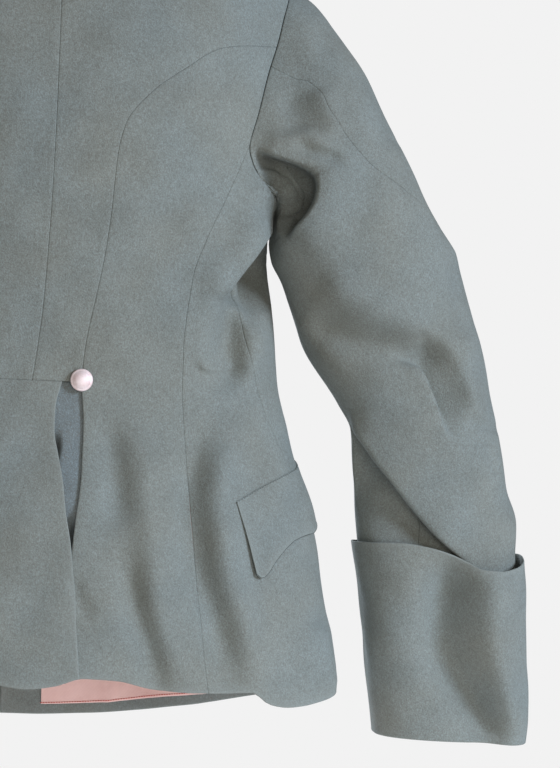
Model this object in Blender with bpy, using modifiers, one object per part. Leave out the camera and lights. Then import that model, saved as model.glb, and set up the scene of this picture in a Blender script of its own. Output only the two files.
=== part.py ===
"""Officer tunic: a hollow, filled-out wool tunic, cut and sewn from shaped panels.

Metres, +Z up. The front faces -Y, the back +Y and the wearer's right -X. The origin is the middle of the
neck opening at the height of the nape, where the shoulders hold the garment up. Lengths below are in
millimetres and become metres as each mesh is made. A panel is worked out for the wearer's right and
mirrored for the left.

The body is a stack of rings. A place on it is an angle, in degrees round from the middle of the back, and a
drop below the nape. A place on a sleeve is a ring number, counted from the armhole, and an angle round from
the outer edge by way of the back. Every panel is a patch between four seams in those places, so neighbours
share their points.
"""

import math

import bmesh
import bpy
import numpy as np
from mathutils import Vector

MM = 0.001

# Cloth
WALL = 2.0
LINING_WALL = 1.0
CUFF_WALL = 1.6
COLLAR_WALL = 3.0
SEAM_GAP = 0.3
ARMHOLE_GAP = 0.4
LAYER_GAP = 0.6
LINING_GAP = 1.4
OVERLAP_GAP = 1.2
FLAP_GAP = 1.5

# Lengths below the nape, and the main widths
WAIST_DROP = 396.0
NECK_FRONT_DIP = 62.0
NECK_SIDE_RISE = 21.0
NECK_DIP_REACH = 150.0
FRONT_OVERLAP = 22.0
FRONT_ROW_LEVEL = 275.0
OVERLAP_RAMP = 48.0
OVERLAP_CLEAR = 8.0
COLLAR_HEIGHT = 42.0
COLLAR_LEAN = 5.0
COLLAR_INSET = 0.9
COLLAR_FRONT_GAP = 3.0
HEM_TURN_UP = 10.0
FACING_EDGE = {"right": 16.0, "left": 75.0}

# Vented tail at the centre back
TAIL_LIFT = 3.2
TAIL_LIFT_REACH = 90.0
UNDERLAY_INNER_EDGE = 6.0
UNDERLAY_LAP = 10.0
UNDERLAY_SHORTER = 7.0

# Pocket flaps
FLAP_WIDTH = 172.0
FLAP_SLANT = math.radians(18.0)
FLAP_LEAN = math.radians(2.0)
FLAP_PROUD = 2.4
FLAP_CORNER = (172.0, 494.0)

# Buttons
BUTTON_RADIUS = 9.5
BUTTON_HEIGHT = 5.6
BUTTON_STAND_OFF = 1.2
BUTTON_STEPS = 14
BUTTON_PROFILE = [(0, 1), (0.45, 0.86), (0.8, 0.55), (1, 0.18), (0.93, 0), (0, 0)]
WAIST_BUTTON = {"right": (36.5, 394.5), "left": (43.5, 394.5)}
FRONT_BUTTON_TOP = 104.0
FRONT_BUTTON_BOTTOM = 440.0
FRONT_BUTTONS = 8

# Points along each seam and round the sleeve
ROWS_SEAM_ONE = 12
ROWS_VENT = 8
ROWS_SEAM_TWO = ROWS_SEAM_ONE + ROWS_VENT
ROWS_TAIL = 10
COLUMNS_TAIL_HALF = 4
COLUMNS_WAIST_OUTER = 4
COLUMNS_SHOULDER = 4
COLUMNS_NECK_BACK = 4
COLUMNS_NECK_FRONT = 5
COLUMNS_OVERLAP = 1
ARMHOLE_SHOULDER = 3
ARMHOLE_BLADE = 5
ARMHOLE_UNDERARM = 6
ARMHOLE_CHEST = 9
RINGS_SLEEVE = 17
COLUMNS_CUFF = 24
DENSE = 200

WOOL = (0.205, 0.245, 0.238)
WOOL_SHADE = (0.185, 0.222, 0.228)
LINING_PINK = (0.53, 0.33, 0.30)
SILVERED = (0.78, 0.70, 0.70)


def columns(names, *rows):
    """A table as a dictionary of columns."""
    return dict(zip(names.split(), np.array(rows, float).T))


# Plain shape of the body, one row for each ring
BODY_RINGS = columns(
    "drop half_width back_depth front_depth squareness",
    (0, 66, 62, 64, 2.00),
    (14, 107, 74, 74, 2.00),
    (30, 160, 86, 82, 2.05),
    (45, 204, 94, 88, 2.10),
    (75, 206, 103, 95, 2.20),
    (120, 203, 111, 105, 2.30),
    (180, 199, 115, 114, 2.35),
    (240, 196, 112, 118, 2.35),
    (300, 198, 103, 114, 2.30),
    (350, 203, 94, 107, 2.25),
    (396, 210, 88, 102, 2.20),
    (440, 222, 92, 104, 2.20),
    (500, 242, 106, 113, 2.20),
    (560, 254, 119, 124, 2.20),
    (620, 265, 130, 134, 2.20),
    (720, 281, 146, 148, 2.20),
)

# Lower edge of the cloth round the body: the back hangs shorter than the front
HEM = columns(
    "angle drop",
    (-20, 641), (-10, 648), (0, 651), (10, 648), (20, 641), (30, 642), (40, 648), (50, 651), (60, 650),
    (67, 657), (73, 666), (79, 666), (86, 658), (94, 656), (103, 662), (115, 674), (130, 686), (150, 695),
    (170, 699), (180, 700), (200, 699),
)

# Seams as lists of (across the back, drop), lower end first
CENTRE_SEAM = [
    (-5, 396), (-1.5, 367), (1.6, 333), (3.4, 298), (5.6, 228), (6.2, 170), (6.2, 100), (6, 40), (6, 0),
]
SEAM_ONE = [
    (36.5, 396), (38.5, 365), (45.3, 326), (52, 284), (56, 241), (58.5, 205), (64, 179), (84, 152),
    (112, 130), (146, 110),
]
SEAM_TWO = [
    (152, 650), (143, 577), (134.4, 509), (126.4, 441), (121.7, 390), (121.6, 348), (125.7, 305), (137, 270),
    (155, 230),
]
VENT_EDGE = [(32, 641), (33.5, 590), (35, 546), (37, 512), (39.5, 470), (39.5, 430), (37, 404), (36.5, 396)]
TAIL_EDGE = [
    (20.3, 396), (15.6, 418), (15.6, 437), (19.6, 458), (24, 479), (27.5, 504), (33, 533), (39, 590),
    (44, 640),
]
TAIL_LEFT_LAP = columns("drop lap", (396, -1), (455, -1), (475, 0), (530, 5), (641, 5))

# Depth of a pocket flap from its rear corner to its middle, which the front half mirrors
FLAP_DEPTH = columns(
    "share depth", (0, 63), (0.083, 65), (0.167, 59.5), (0.25, 55.6), (0.333, 56), (0.417, 58), (0.5, 60)
)

# Side seam under the arm, as (angle, drop), lower end first: under the pocket it runs on round to the front
SEAM_THREE = [
    (101, 660), (99, 620), (95, 560), (88, 500), (81.5, 455), (79, 425), (76.5, 390), (73, 350), (71.5, 320),
    (75.5, 285),
]

# Armhole as (angle, drop): shoulder tip, down the back, under the arm and up the front to the tip again
ARMHOLE = [
    (90, 45), (84, 60), (80.2, 77), (77, 103), (74.2, 126), (71, 156), (68.1, 188), (70, 203), (77, 221),
    (88, 238), (98, 239), (107, 228), (112.5, 208), (115, 185), (114, 156), (110.5, 128), (105, 98), (98, 70),
    (90, 45),
]
ARMHOLE_CORNERS = {"tip": 0, "blade": 3, "side": 6, "underarm": 9, "end": 18}

# Largest folds of the body: a ridge where the height is positive, a trough where it is negative
BODY_FOLDS = columns(
    "start_angle start_drop end_angle end_drop half_width height",
    (73, 240, 61, 335, 17, 9),
    (84, 268, 75, 345, 15, -11),
    (35, 450, 37, 600, 14, -4),
    (45.5, 450, 44, 600, 13, 5),
    (56, 450, 52, 605, 13, -6),
    (67, 455, 61.5, 610, 15, 6),
    (79, 590, 80, 662, 26, 8),
    (120, 470, 124, 680, 26, -6),
    (140, 480, 143, 690, 26, 6),
    (108, 300, 118, 420, 22, -5),
    (150, 180, 130, 300, 30, -5),
)

# Sleeve sections: the two edges seen from behind, how far back the middle lies, and half the thickness
SLEEVE_RINGS = columns(
    "outer_across outer_drop inner_across inner_drop back half_depth",
    (204, 41, 196, 240, -2, 70),
    (236, 58, 202, 248, 0, 68),
    (260, 87, 203, 258, 5, 66),
    (281, 123, 201, 269, 11, 63),
    (300, 166, 201, 282, 15, 60),
    (321, 206, 207, 302, 16, 58),
    (340, 242, 217, 326, 14, 56),
    (361, 272, 226, 351, 11, 54),
    (376, 316, 242, 378, 7, 52),
    (388, 355, 262, 404, 2, 50),
    (399, 395, 276, 427, -5, 48),
    (409, 435, 279, 450, -11, 47),
    (417, 472, 282, 482, -17, 46),
    (425, 505, 286, 512, -22, 45),
    (428, 545, 291, 548, -27, 43),
    (433, 610, 301, 612, -35, 41),
    (438, 681, 314, 680, -43, 39.5),
)
SLEEVE_SQUARENESS = 2.15
# Share of the armhole's own shape that is left in each of the first rings
ARMHOLE_SHARE = [1.0, 0.78, 0.48, 0.2, 0.05, 0.0]

# Sleeve seams, as ring and angle: the hind seam crosses the back of the arm to its outer edge at the elbow
SLEEVE_SEAMS = columns(
    "ring hind inner",
    (0, 75, 186),
    (1, 69, 184),
    (1.5, 59, 183),
    (2, 61, 182),
    (2.5, 68, 181),
    (3, 68, 180),
    (4, 61, 178),
    (5, 44, 177),
    (5.5, 29, 176.5),
    (6, 14, 176),
    (7, -3, 175),
    (9, -12, 172),
    (10, -12, 160),
    (11, -12, 138),
    (12, -12, 120),
    (13, -12, 111),
    (16, -12, 108),
)

# Largest folds of the sleeve, from one (ring, angle) to another
SLEEVE_FOLDS = columns(
    "start_ring start_angle end_ring end_angle half_width height",
    (1.0, 118, 3.2, 128, 22, -13),
    (1.6, 92, 4.6, 112, 20, 6),
    (9.4, 150, 12.6, 84, 22, 8),
    (10.9, 165, 13.4, 92, 17, -11),
    (6.8, 20, 8.6, 40, 22, -6),
    (7.0, 250, 9.0, 285, 24, -7),
    (3.0, 250, 5.0, 285, 28, -5),
)

CUFF_RINGS = columns(
    "outer_across outer_drop inner_across inner_drop back half_depth",
    (436, 532, 282.5, 525, -24, 50.5),
    (438, 565, 286.5, 558, -28, 49.5),
    (441, 610, 293.5, 606, -34, 48),
    (444, 655, 302, 652, -40, 46.5),
    (446, 694, 309, 691, -44.5, 45.5),
)
CUFF_RIM = columns(
    "angle dip",
    (0, 3), (20, 9), (40, 15), (56, 16), (68, 12), (80, 5), (92, 0), (105, -3), (130, -1), (180, 0), (340, 0),
    (360, 3),
)
CUFF_FOLD_RADIUS = 2.2
CUFF_RETURN = 7.0


# Curves and tables
def smooth(at, knots, values):
    """Values of a smooth curve through the knots, which never swings past them."""
    secants = np.diff(values) / np.diff(knots)
    before, after = secants[:-1], secants[1:]
    turning = before * after <= 0
    inner = np.where(turning, 0.0, 2 * before * after / np.where(turning, 1.0, before + after))
    slopes = np.concatenate([secants[:1], inner, secants[-1:]])
    at = np.clip(at, knots[0], knots[-1])
    i = np.clip(np.searchsorted(knots, at, side="right") - 1, 0, len(knots) - 2)
    span = knots[i + 1] - knots[i]
    t = (at - knots[i]) / span
    rise = values[i + 1] - values[i]
    bend_in = slopes[i] * span - rise
    bend_out = rise - slopes[i + 1] * span
    return values[i] + t * rise + t * (1 - t) * ((1 - t) * bend_in + t * bend_out)


def ease(share):
    """A soft step from 0 to 1."""
    share = np.clip(share, 0.0, 1.0)
    return share * share * (3 - 2 * share)


def unit(vectors):
    return vectors / np.maximum(np.linalg.norm(vectors, axis=-1, keepdims=True), 1e-9)


def segment_distance(points, start, end):
    """How far points are from a segment, and how far along it they lie."""
    along = end - start
    share = np.clip(((points - start) @ along) / max(float(along @ along), 1e-9), 0.0, 1.0)
    return np.linalg.norm(points - start - share[..., None] * along, axis=-1), share


def fold_height(points, starts, ends, half_widths, heights):
    """Sum of the ridges and troughs at these points. Each fades out at its ends."""
    total = np.zeros(points.shape[:-1])
    for start, end, half_width, height in zip(starts, ends, half_widths, heights):
        distance, share = segment_distance(points, start, end)
        faded = ease(3 * share + 0.25) * ease(3 * (1 - share) + 0.25)
        total += height * np.exp(-((distance / half_width) ** 2)) * faded
    return total


# Body surface
def ring_column(name, drop):
    return smooth(drop, BODY_RINGS["drop"], BODY_RINGS[name])


def neck_dip(angle, drop):
    """The rings tip down to the front near the neck."""
    turn = np.radians(angle)
    dip = NECK_SIDE_RISE * np.sin(turn) ** 2 - NECK_FRONT_DIP * ((1 - np.cos(turn)) / 2) ** 2
    return dip * ease(1 - drop / NECK_DIP_REACH)


def plain_body(angle, drop):
    """Points of the body without folds, as across, back and up."""
    angle, drop = np.broadcast_arrays(np.asarray(angle, float), np.asarray(drop, float))
    turn = np.radians(angle)
    power = ring_column("squareness", drop)
    depth = np.where(np.cos(turn) >= 0, ring_column("back_depth", drop), ring_column("front_depth", drop))
    wide = np.abs(np.sin(turn)) / ring_column("half_width", drop)
    deep = np.abs(np.cos(turn)) / depth
    radius = (wide**power + deep**power) ** (-1 / power)
    return np.stack([radius * np.sin(turn), radius * np.cos(turn), neck_dip(angle, drop) - drop], axis=-1)


def surface_normals(surface, first, second, first_step, second_step):
    """Outward normals of a surface of two parameters."""
    first_way = surface(first + first_step, second) - surface(first - first_step, second)
    second_way = surface(first, second + second_step) - surface(first, second - second_step)
    return unit(np.cross(first_way, second_way))


def folded_body(angle, drop):
    points = plain_body(angle, drop)
    starts = plain_body(BODY_FOLDS["start_angle"], BODY_FOLDS["start_drop"])
    ends = plain_body(BODY_FOLDS["end_angle"], BODY_FOLDS["end_drop"])
    height = fold_height(points, starts, ends, BODY_FOLDS["half_width"], BODY_FOLDS["height"])
    return points + surface_normals(plain_body, angle, drop, 0.2, 0.5) * height[..., None]


def body_sheet(places, lift=0.0):
    """Outer points and normals at an array of (angle, drop)."""
    angle, drop = places[..., 0], places[..., 1]
    normals = surface_normals(folded_body, angle, drop, 0.2, 0.5)
    return folded_body(angle, drop) + normals * np.asarray(lift)[..., None], normals


def angle_at(across, drop):
    """The angle of a point of the back that lies this far across."""
    half, depth, power = (ring_column(name, drop) for name in ("half_width", "back_depth", "squareness"))
    back = depth * (1 - np.abs(across / half) ** power) ** (1 / power)
    return np.degrees(np.arctan2(across, back))


def on_back(rows):
    """Rows of (across, drop) as (angle, drop)."""
    rows = np.array(rows, float)
    return np.stack([angle_at(rows[:, 0], rows[:, 1]), rows[:, 1]], axis=-1)


def hem_drop(angle):
    return smooth(angle, HEM["angle"], HEM["drop"])


def run(rows, intervals, first=0.0, last=None):
    """Evenly spaced places along a smooth curve through rows of (angle, drop)."""
    rows = np.array(rows, float)
    knots = np.arange(len(rows), dtype=float)
    at = np.linspace(first, knots[-1] if last is None else last, DENSE)
    places = np.stack([smooth(at, knots, rows[:, i]) for i in (0, 1)], axis=-1)
    steps = np.linalg.norm(np.diff(plain_body(places[:, 0], places[:, 1]), axis=0), axis=1)
    length = np.concatenate([[0], np.cumsum(steps)])
    even = np.linspace(0, length[-1], intervals + 1)
    return np.stack([np.interp(even, length, places[:, i]) for i in (0, 1)], axis=-1)


def joined(*runs):
    """Runs that follow each other, as one."""
    return np.concatenate([runs[0], *[one[1:] for one in runs[1:]]])


def flat(places, middle):
    """Places unrolled from a middle line: the angle becomes a width, small at the rings of the neck."""
    width = (places[..., 0] - middle) / 90 * ring_column("half_width", places[..., 1])
    return np.stack([width, places[..., 1]], axis=-1)


def rolled(flat_places, middle):
    """The way back from flat."""
    width, drop = flat_places[..., 0], flat_places[..., 1]
    return np.stack([middle + width * 90 / ring_column("half_width", drop), drop], axis=-1)


def patch(lower, right, upper, left, middle=0.0):
    """Places of a grid between four seams. Lower and upper run left to right, the others upwards."""
    lower, right, upper, left = (flat(seam, middle) for seam in (lower, right, upper, left))
    u = np.linspace(0, 1, len(lower))[None, :, None]
    v = np.linspace(0, 1, len(left))[:, None, None]
    between = (1 - v) * lower[None] + v * upper[None] + (1 - u) * left[:, None] + u * right[:, None]
    corners = (1 - v) * ((1 - u) * lower[0] + u * lower[-1]) + v * ((1 - u) * upper[0] + u * upper[-1])
    return rolled(between - corners, middle)


# Seams that panels share
def armhole_run(first, last, intervals):
    return run(ARMHOLE, intervals, ARMHOLE_CORNERS[first], ARMHOLE_CORNERS[last])


def cut_seams():
    """The places of every shared seam, worked out once for all panels."""
    seams = {
        "armhole_shoulder": armhole_run("tip", "blade", ARMHOLE_SHOULDER),
        "armhole_blade": armhole_run("blade", "side", ARMHOLE_BLADE),
        "armhole_underarm": armhole_run("side", "underarm", ARMHOLE_UNDERARM),
        "armhole_chest": armhole_run("underarm", "end", ARMHOLE_CHEST),
        "centre": run(on_back(CENTRE_SEAM), ROWS_SEAM_ONE + ARMHOLE_SHOULDER),
        "shoulder": run([(90, 45), (90, 22), (90, 0)], COLUMNS_SHOULDER),
    }
    blade, side, underarm = ARMHOLE[3], ARMHOLE[6], ARMHOLE[9]
    seams["one"] = run(np.vstack([on_back(SEAM_ONE), blade]), ROWS_SEAM_ONE)
    seams["two"] = run(np.vstack([on_back(SEAM_TWO), side]), ROWS_SEAM_TWO)
    seams["three"] = run(np.vstack([SEAM_THREE, underarm]), ROWS_SEAM_TWO)
    vent = on_back(VENT_EDGE)
    seams["vent"] = run(vent, ROWS_VENT)
    for name in ("two", "three", "vent"):
        seams[name][0, 1] = hem_drop(seams[name][0, 0])
    waist_start, waist_end = seams["centre"][0], seams["one"][0]
    tail_corner = on_back(TAIL_EDGE[:1])[0]
    seams["waist"] = joined(
        run([waist_start, (waist_start + tail_corner) / 2, tail_corner], COLUMNS_TAIL_HALF),
        run([tail_corner, (tail_corner + waist_end) / 2, waist_end], COLUMNS_WAIST_OUTER),
    )
    centre_top = seams["centre"][-1]
    seams["neck_back"] = run([(90, 0), (60, 0), (30, 0), centre_top], COLUMNS_NECK_BACK)
    seams["neck_front"] = run([(90, 0), (120, 0), (150, 0), (180, 0)], COLUMNS_NECK_FRONT)
    return seams


def front_edge():
    """Edge of a front, past the middle by the overlap, from hem to neck. The underarm row sinks to it."""
    levels = [hem_drop(184.0), FRONT_ROW_LEVEL, 0.0]
    parts = []
    for start, end, intervals in zip(levels, levels[1:], (ROWS_SEAM_TWO, ARMHOLE_CHEST)):
        drops = np.linspace(start, end, 12)
        overlap = np.degrees(np.arctan2(FRONT_OVERLAP, ring_column("front_depth", drops)))
        parts.append(run(np.stack([180 + overlap, drops], axis=-1), intervals))
    return joined(*parts)


def hem_run(start, end, intervals):
    angles = np.linspace(start, end, intervals + 1)
    return np.stack([angles, hem_drop(angles)], axis=-1)


# Walls
ALL_SIDES = ("lower", "upper", "left", "right")


def pulled_in(points, gap, sides):
    """Moves the sewn edges of a grid inwards along the cloth, so that neighbours stay apart."""
    moved = points.copy()
    edges = {
        "lower": ((0, slice(None)), (1, slice(None))),
        "upper": ((-1, slice(None)), (-2, slice(None))),
        "left": ((slice(None), 0), (slice(None), 1)),
        "right": ((slice(None), -1), (slice(None), -2)),
    }
    for name in sides:
        edge, inner = edges[name]
        inward = points[inner] - points[edge]
        tangent = unit(np.gradient(points[edge], axis=0))
        inward -= (inward * tangent).sum(-1, keepdims=True) * tangent
        moved[edge] += unit(inward) * gap
    return moved


def wall_object(name, outer, inner, side, material, closed=False):
    """A cloth wall between two grids of points. A closed one joins its last column to its first."""
    bm = bmesh.new()
    rows, cols = outer.shape[:2]
    layers = []
    for grid in (outer, inner):
        world = grid * MM * np.array([-side, 1, 1])
        layers.append([[bm.verts.new(point) for point in row] for row in world])
    spans = cols if closed else cols - 1
    for layer in layers:
        for r in range(rows - 1):
            for c in range(spans):
                d = (c + 1) % cols
                bm.faces.new((layer[r][c], layer[r][d], layer[r + 1][d], layer[r + 1][c]))
    top, under = layers
    rims = [[(r, c) for c in range(cols)] + ([(r, 0)] if closed else []) for r in (0, rows - 1)]
    if not closed:
        rims += [[(r, c) for r in range(rows)] for c in (0, cols - 1)]
    for rim in rims:
        for (r, c), (s, d) in zip(rim, rim[1:]):
            bm.faces.new((top[r][c], top[s][d], under[s][d], under[r][c]))
    bmesh.ops.recalc_face_normals(bm, faces=bm.faces)
    mesh = bpy.data.meshes.new(name)
    bm.to_mesh(mesh)
    bm.free()
    mesh.shade_smooth()
    mesh.set_sharp_from_angle(angle=math.radians(50))
    return placed(name, mesh, material)


def placed(name, mesh, material):
    obj = bpy.data.objects.new(name, mesh)
    obj.data.materials.append(material)
    bpy.data.collections["officer_tunic"].objects.link(obj)
    return obj


def panel(name, places, side, material, lift=0.0, depth=0.0, wall=WALL, sewn=ALL_SIDES):
    """A panel of the body. Lift moves it out, depth moves it in under another layer."""
    points, normals = body_sheet(places, lift - depth)
    outer = pulled_in(points, SEAM_GAP / 2, sewn)
    return wall_object(name, outer, outer - normals * wall, side, material)


# Panels of the body
def back_panels(seams, material):
    upper = joined(seams["neck_back"][::-1], seams["shoulder"][::-1])
    right = joined(seams["one"], seams["armhole_shoulder"][::-1])
    for side, suffix in ((1, "right"), (-1, "left")):
        centre = seams["centre"] * [side, 1]
        lower = seams["waist"].copy()
        spread = (seams["waist"][0, 0] - centre[0, 0]) * np.linspace(1, 0, COLUMNS_TAIL_HALF + 1)
        lower[: COLUMNS_TAIL_HALF + 1, 0] -= spread
        top = upper.copy()
        shift = upper[0, 0] - centre[-1, 0]
        top[: COLUMNS_NECK_BACK + 1, 0] -= shift * np.linspace(1, 0, COLUMNS_NECK_BACK + 1)
        panel(f"back_centre_{suffix}", patch(lower, right, top, centre), side, material)


def side_back_places(seams):
    left = joined(seams["vent"], seams["one"])
    lower = hem_run(left[0, 0], seams["two"][0, 0], ARMHOLE_BLADE)
    return patch(lower, seams["two"], seams["armhole_blade"], left)


def side_places(seams):
    lower = hem_run(seams["two"][0, 0], seams["three"][0, 0], ARMHOLE_UNDERARM)
    return patch(lower, seams["three"], seams["armhole_underarm"], seams["two"])


def front_places(seams):
    left = joined(seams["three"], seams["armhole_chest"])
    edge = front_edge()
    middle = hem_run(left[0, 0], 180.0, COLUMNS_SHOULDER + COLUMNS_NECK_FRONT)
    lower = joined(middle, hem_run(180.0, edge[0, 0], COLUMNS_OVERLAP))
    neck = joined(seams["neck_front"], np.stack([seams["neck_front"][-1], edge[-1]]))
    return patch(lower, edge, joined(seams["shoulder"], neck), left, middle=180.0)


def overlap_lift(places):
    """The left front rises over the right one as it nears the middle."""
    across = plain_body(places[..., 0], places[..., 1])[..., 0]
    start = FRONT_OVERLAP + OVERLAP_CLEAR + OVERLAP_RAMP
    return (WALL + OVERLAP_GAP) * ease((start - across) / OVERLAP_RAMP)


def body_panels(seams, wool):
    back_panels(seams, wool)
    front = front_places(seams)
    for side, suffix in ((1, "right"), (-1, "left")):
        panel(f"back_side_{suffix}", side_back_places(seams), side, wool)
        panel(f"side_{suffix}", side_places(seams), side, wool)
        lift = overlap_lift(front) if side < 0 else np.zeros(front.shape[:2])
        panel(f"front_{suffix}", front, side, wool, lift=lift)


def linings(seams, pink):
    """Skirt lining of each front and side, above the turned-up hem and short of the facing."""
    front = front_places(seams)[: ROWS_VENT + 1]
    for side, suffix in ((1, "right"), (-1, "left")):
        lined_front = short_of_facing(front, FACING_EDGE[suffix])
        for name, places in (("front", lined_front), ("side", side_places(seams)[: ROWS_VENT + 1])):
            step = (places[0, :, 1] - places[1, :, 1])[:, None]
            places[0] += (places[1] - places[0]) * HEM_TURN_UP / step
            full_name = f"{name}_lining_{suffix}"
            panel(full_name, places, side, pink, depth=WALL + LINING_GAP, wall=LINING_WALL)


def short_of_facing(front, facing_edge):
    """The places of a front from its side seam to the facing, whose edge lies this far from the middle."""
    limit = 180 - math.degrees(math.atan2(facing_edge, ring_column("front_depth", hem_drop(180.0))))
    last = int(np.searchsorted(front[0, :, 0], limit))
    share = (limit - front[0, last - 1, 0]) / (front[0, last, 0] - front[0, last - 1, 0])
    edge = front[:, last - 1] + share * (front[:, last] - front[:, last - 1])
    return np.concatenate([front[:, :last], edge[:, None]], axis=1)


def tail(seams, wool):
    """Centre skirt below the waist seam: its right edge hangs open, its left edge closes the left vent."""
    right = run(on_back(TAIL_EDGE), ROWS_TAIL)[::-1]
    lapped = np.array(VENT_EDGE[::-1], float)
    lapped[:, 0] += smooth(lapped[:, 1], TAIL_LEFT_LAP["drop"], TAIL_LEFT_LAP["lap"])
    left = run(on_back(lapped), ROWS_TAIL)[::-1] * [-1, 1]
    for edge in (right, left):
        edge[0, 1] = hem_drop(edge[0, 0])
    right_waist = seams["waist"][: COLUMNS_TAIL_HALF + 1]
    left_waist = seams["waist"] * [-1, 1]
    spread = (right_waist[0, 0] - left_waist[0, 0]) * np.linspace(1, 0, COLUMNS_TAIL_HALF + 1)
    left_waist[: COLUMNS_TAIL_HALF + 1, 0] += spread
    left_waist[-1] = left[-1]
    upper = joined(left_waist[::-1], right_waist)
    lower = hem_run(left[0, 0], right[0, 0], len(upper) - 1)
    places = patch(lower, right, upper, left)
    lift = TAIL_LIFT * ease((places[..., 1] - WAIST_DROP) / TAIL_LIFT_REACH)
    panel("tail", places, 1, wool, lift=lift, sewn=("upper",))


def vent_underlays(wool):
    """Pleat cloth seen in each vent, under the tail and under the edge of the side back."""
    rows = np.array(VENT_EDGE[::-1], float)
    outer = run(on_back(rows + [UNDERLAY_LAP, 0]), ROWS_TAIL)[::-1]
    inner = run(on_back(rows * [0, 1] + [UNDERLAY_INNER_EDGE, 0]), ROWS_TAIL)[::-1]
    for edge in (outer, inner):
        edge[-1, 1] += SEAM_GAP
        edge[0, 1] = hem_drop(edge[0, 0]) - UNDERLAY_SHORTER
    lower, upper = (np.linspace(inner[i], outer[i], COLUMNS_TAIL_HALF + 1) for i in (0, -1))
    for side, suffix in ((1, "right"), (-1, "left")):
        places = patch(lower, outer, upper, inner)
        panel(f"vent_underlay_{suffix}", places, side, wool, depth=WALL + LAYER_GAP)


def collar(seams, wool):
    """Stand collar on the neck seam, its ends just apart at the middle of the front."""
    round_half = joined(seams["neck_back"][::-1], seams["neck_front"])
    round_half[0, 0] = 0.0
    end_angle = math.degrees(math.atan2(COLLAR_FRONT_GAP / 2, ring_column("front_depth", 0.0)))
    round_half[-1, 0] = 180 - end_angle
    foot = plain_body(round_half[:, 0], round_half[:, 1])
    foot = np.concatenate([foot[:0:-1] * [-1, 1, 1], foot])
    radial = unit(foot * [1, 1, 0])
    rows = []
    for share in np.linspace(0, 1, 4):
        lean = COLLAR_INSET + COLLAR_LEAN * share
        rows.append(foot - radial * lean + [0, 0, 2 * SEAM_GAP + COLLAR_HEIGHT * share])
    outer = np.array(rows)
    wall_object("collar", outer, outer - radial[None] * COLLAR_WALL, 1, wool)


# Sleeves
def section(table, ring, angle, squareness=SLEEVE_SQUARENESS):
    """A point of an oval section: angle 0 is its outer edge, 90 the back."""
    knots = np.arange(len(table["back"]), dtype=float)
    value = {name: smooth(ring, knots, table[name]) for name in table}
    zero = np.zeros_like(value["back"])
    outer = np.stack([value["outer_across"], zero, -value["outer_drop"]], axis=-1)
    inner = np.stack([value["inner_across"], zero, -value["inner_drop"]], axis=-1)
    turn = np.radians(angle)
    radius = (np.abs(np.cos(turn)) ** squareness + np.abs(np.sin(turn)) ** squareness) ** (-1 / squareness)
    points = (outer + inner) / 2 + (outer - inner) / 2 * (radius * np.cos(turn))[..., None]
    points[..., 1] += value["back"] + value["half_depth"] * radius * np.sin(turn)
    return points


def middle(table, ring):
    """The point halfway between the outer and inner edges of a section."""
    return (section(table, ring, 0 * ring) + section(table, ring, 0 * ring + 180)) / 2


def seam_angle(name, ring):
    return smooth(ring, SLEEVE_SEAMS["ring"], SLEEVE_SEAMS[name])


class SleevePart:
    """The top or under sleeve. A place on it is a ring and a share of the way between its two seams."""

    def __init__(self, armhole, start, end, end_turn):
        self.points, _ = body_sheet(armhole)
        steps = np.linalg.norm(np.diff(self.points, axis=0), axis=1)
        self.shares = np.concatenate([[0], np.cumsum(steps)]) / steps.sum()
        self.start, self.end, self.end_turn = start, end, end_turn

    def plain(self, ring, share):
        ring, share = np.broadcast_arrays(np.asarray(ring, float), np.asarray(share, float))
        first, last = seam_angle(self.start, ring), seam_angle(self.end, ring) + self.end_turn
        oval = section(SLEEVE_RINGS, ring, first + (last - first) * share)
        hole = np.stack([smooth(share, self.shares, self.points[:, i]) for i in range(3)], axis=-1)
        drift = middle(SLEEVE_RINGS, ring) - middle(SLEEVE_RINGS, 0 * ring)
        left = smooth(ring, np.arange(len(ARMHOLE_SHARE), dtype=float), np.array(ARMHOLE_SHARE))[..., None]
        return left * (hole + drift) + (1 - left) * oval

    def folded(self, ring, share):
        points = self.plain(ring, share)
        starts = section(SLEEVE_RINGS, SLEEVE_FOLDS["start_ring"], SLEEVE_FOLDS["start_angle"])
        ends = section(SLEEVE_RINGS, SLEEVE_FOLDS["end_ring"], SLEEVE_FOLDS["end_angle"])
        height = fold_height(points, starts, ends, SLEEVE_FOLDS["half_width"], SLEEVE_FOLDS["height"])
        height *= ease(np.asarray(ring, float))
        return points + self.normals(self.plain, ring, share) * height[..., None]

    def normals(self, surface, ring, share):
        return surface_normals(surface, ring, share, 0.02, 0.004)


def sleeve(part, name, side, wool):
    ring = np.arange(RINGS_SLEEVE, dtype=float)[:, None] + 0 * part.shares[None]
    share = part.shares[None] + 0 * ring
    normals = part.normals(part.folded, ring, share)
    outer = pulled_in(part.folded(ring, share), SEAM_GAP / 2, ("left", "right"))
    outer = pulled_in(outer, ARMHOLE_GAP, ("lower",))
    wall_object(name, outer, outer - normals * WALL, side, wool)


def sleeves(seams, wool):
    hind, rest = seams["armhole_blade"][1:], seams["armhole_blade"][:2]
    under = SleevePart(joined(hind, seams["armhole_underarm"]), "hind", "inner", 0.0)
    front_and_top = joined(seams["armhole_chest"], seams["armhole_shoulder"], rest)
    over = SleevePart(front_and_top, "inner", "hind", 360.0)
    for side, suffix in ((1, "right"), (-1, "left")):
        sleeve(under, f"under_sleeve_{suffix}", side, wool)
        sleeve(over, f"top_sleeve_{suffix}", side, wool)


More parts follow.
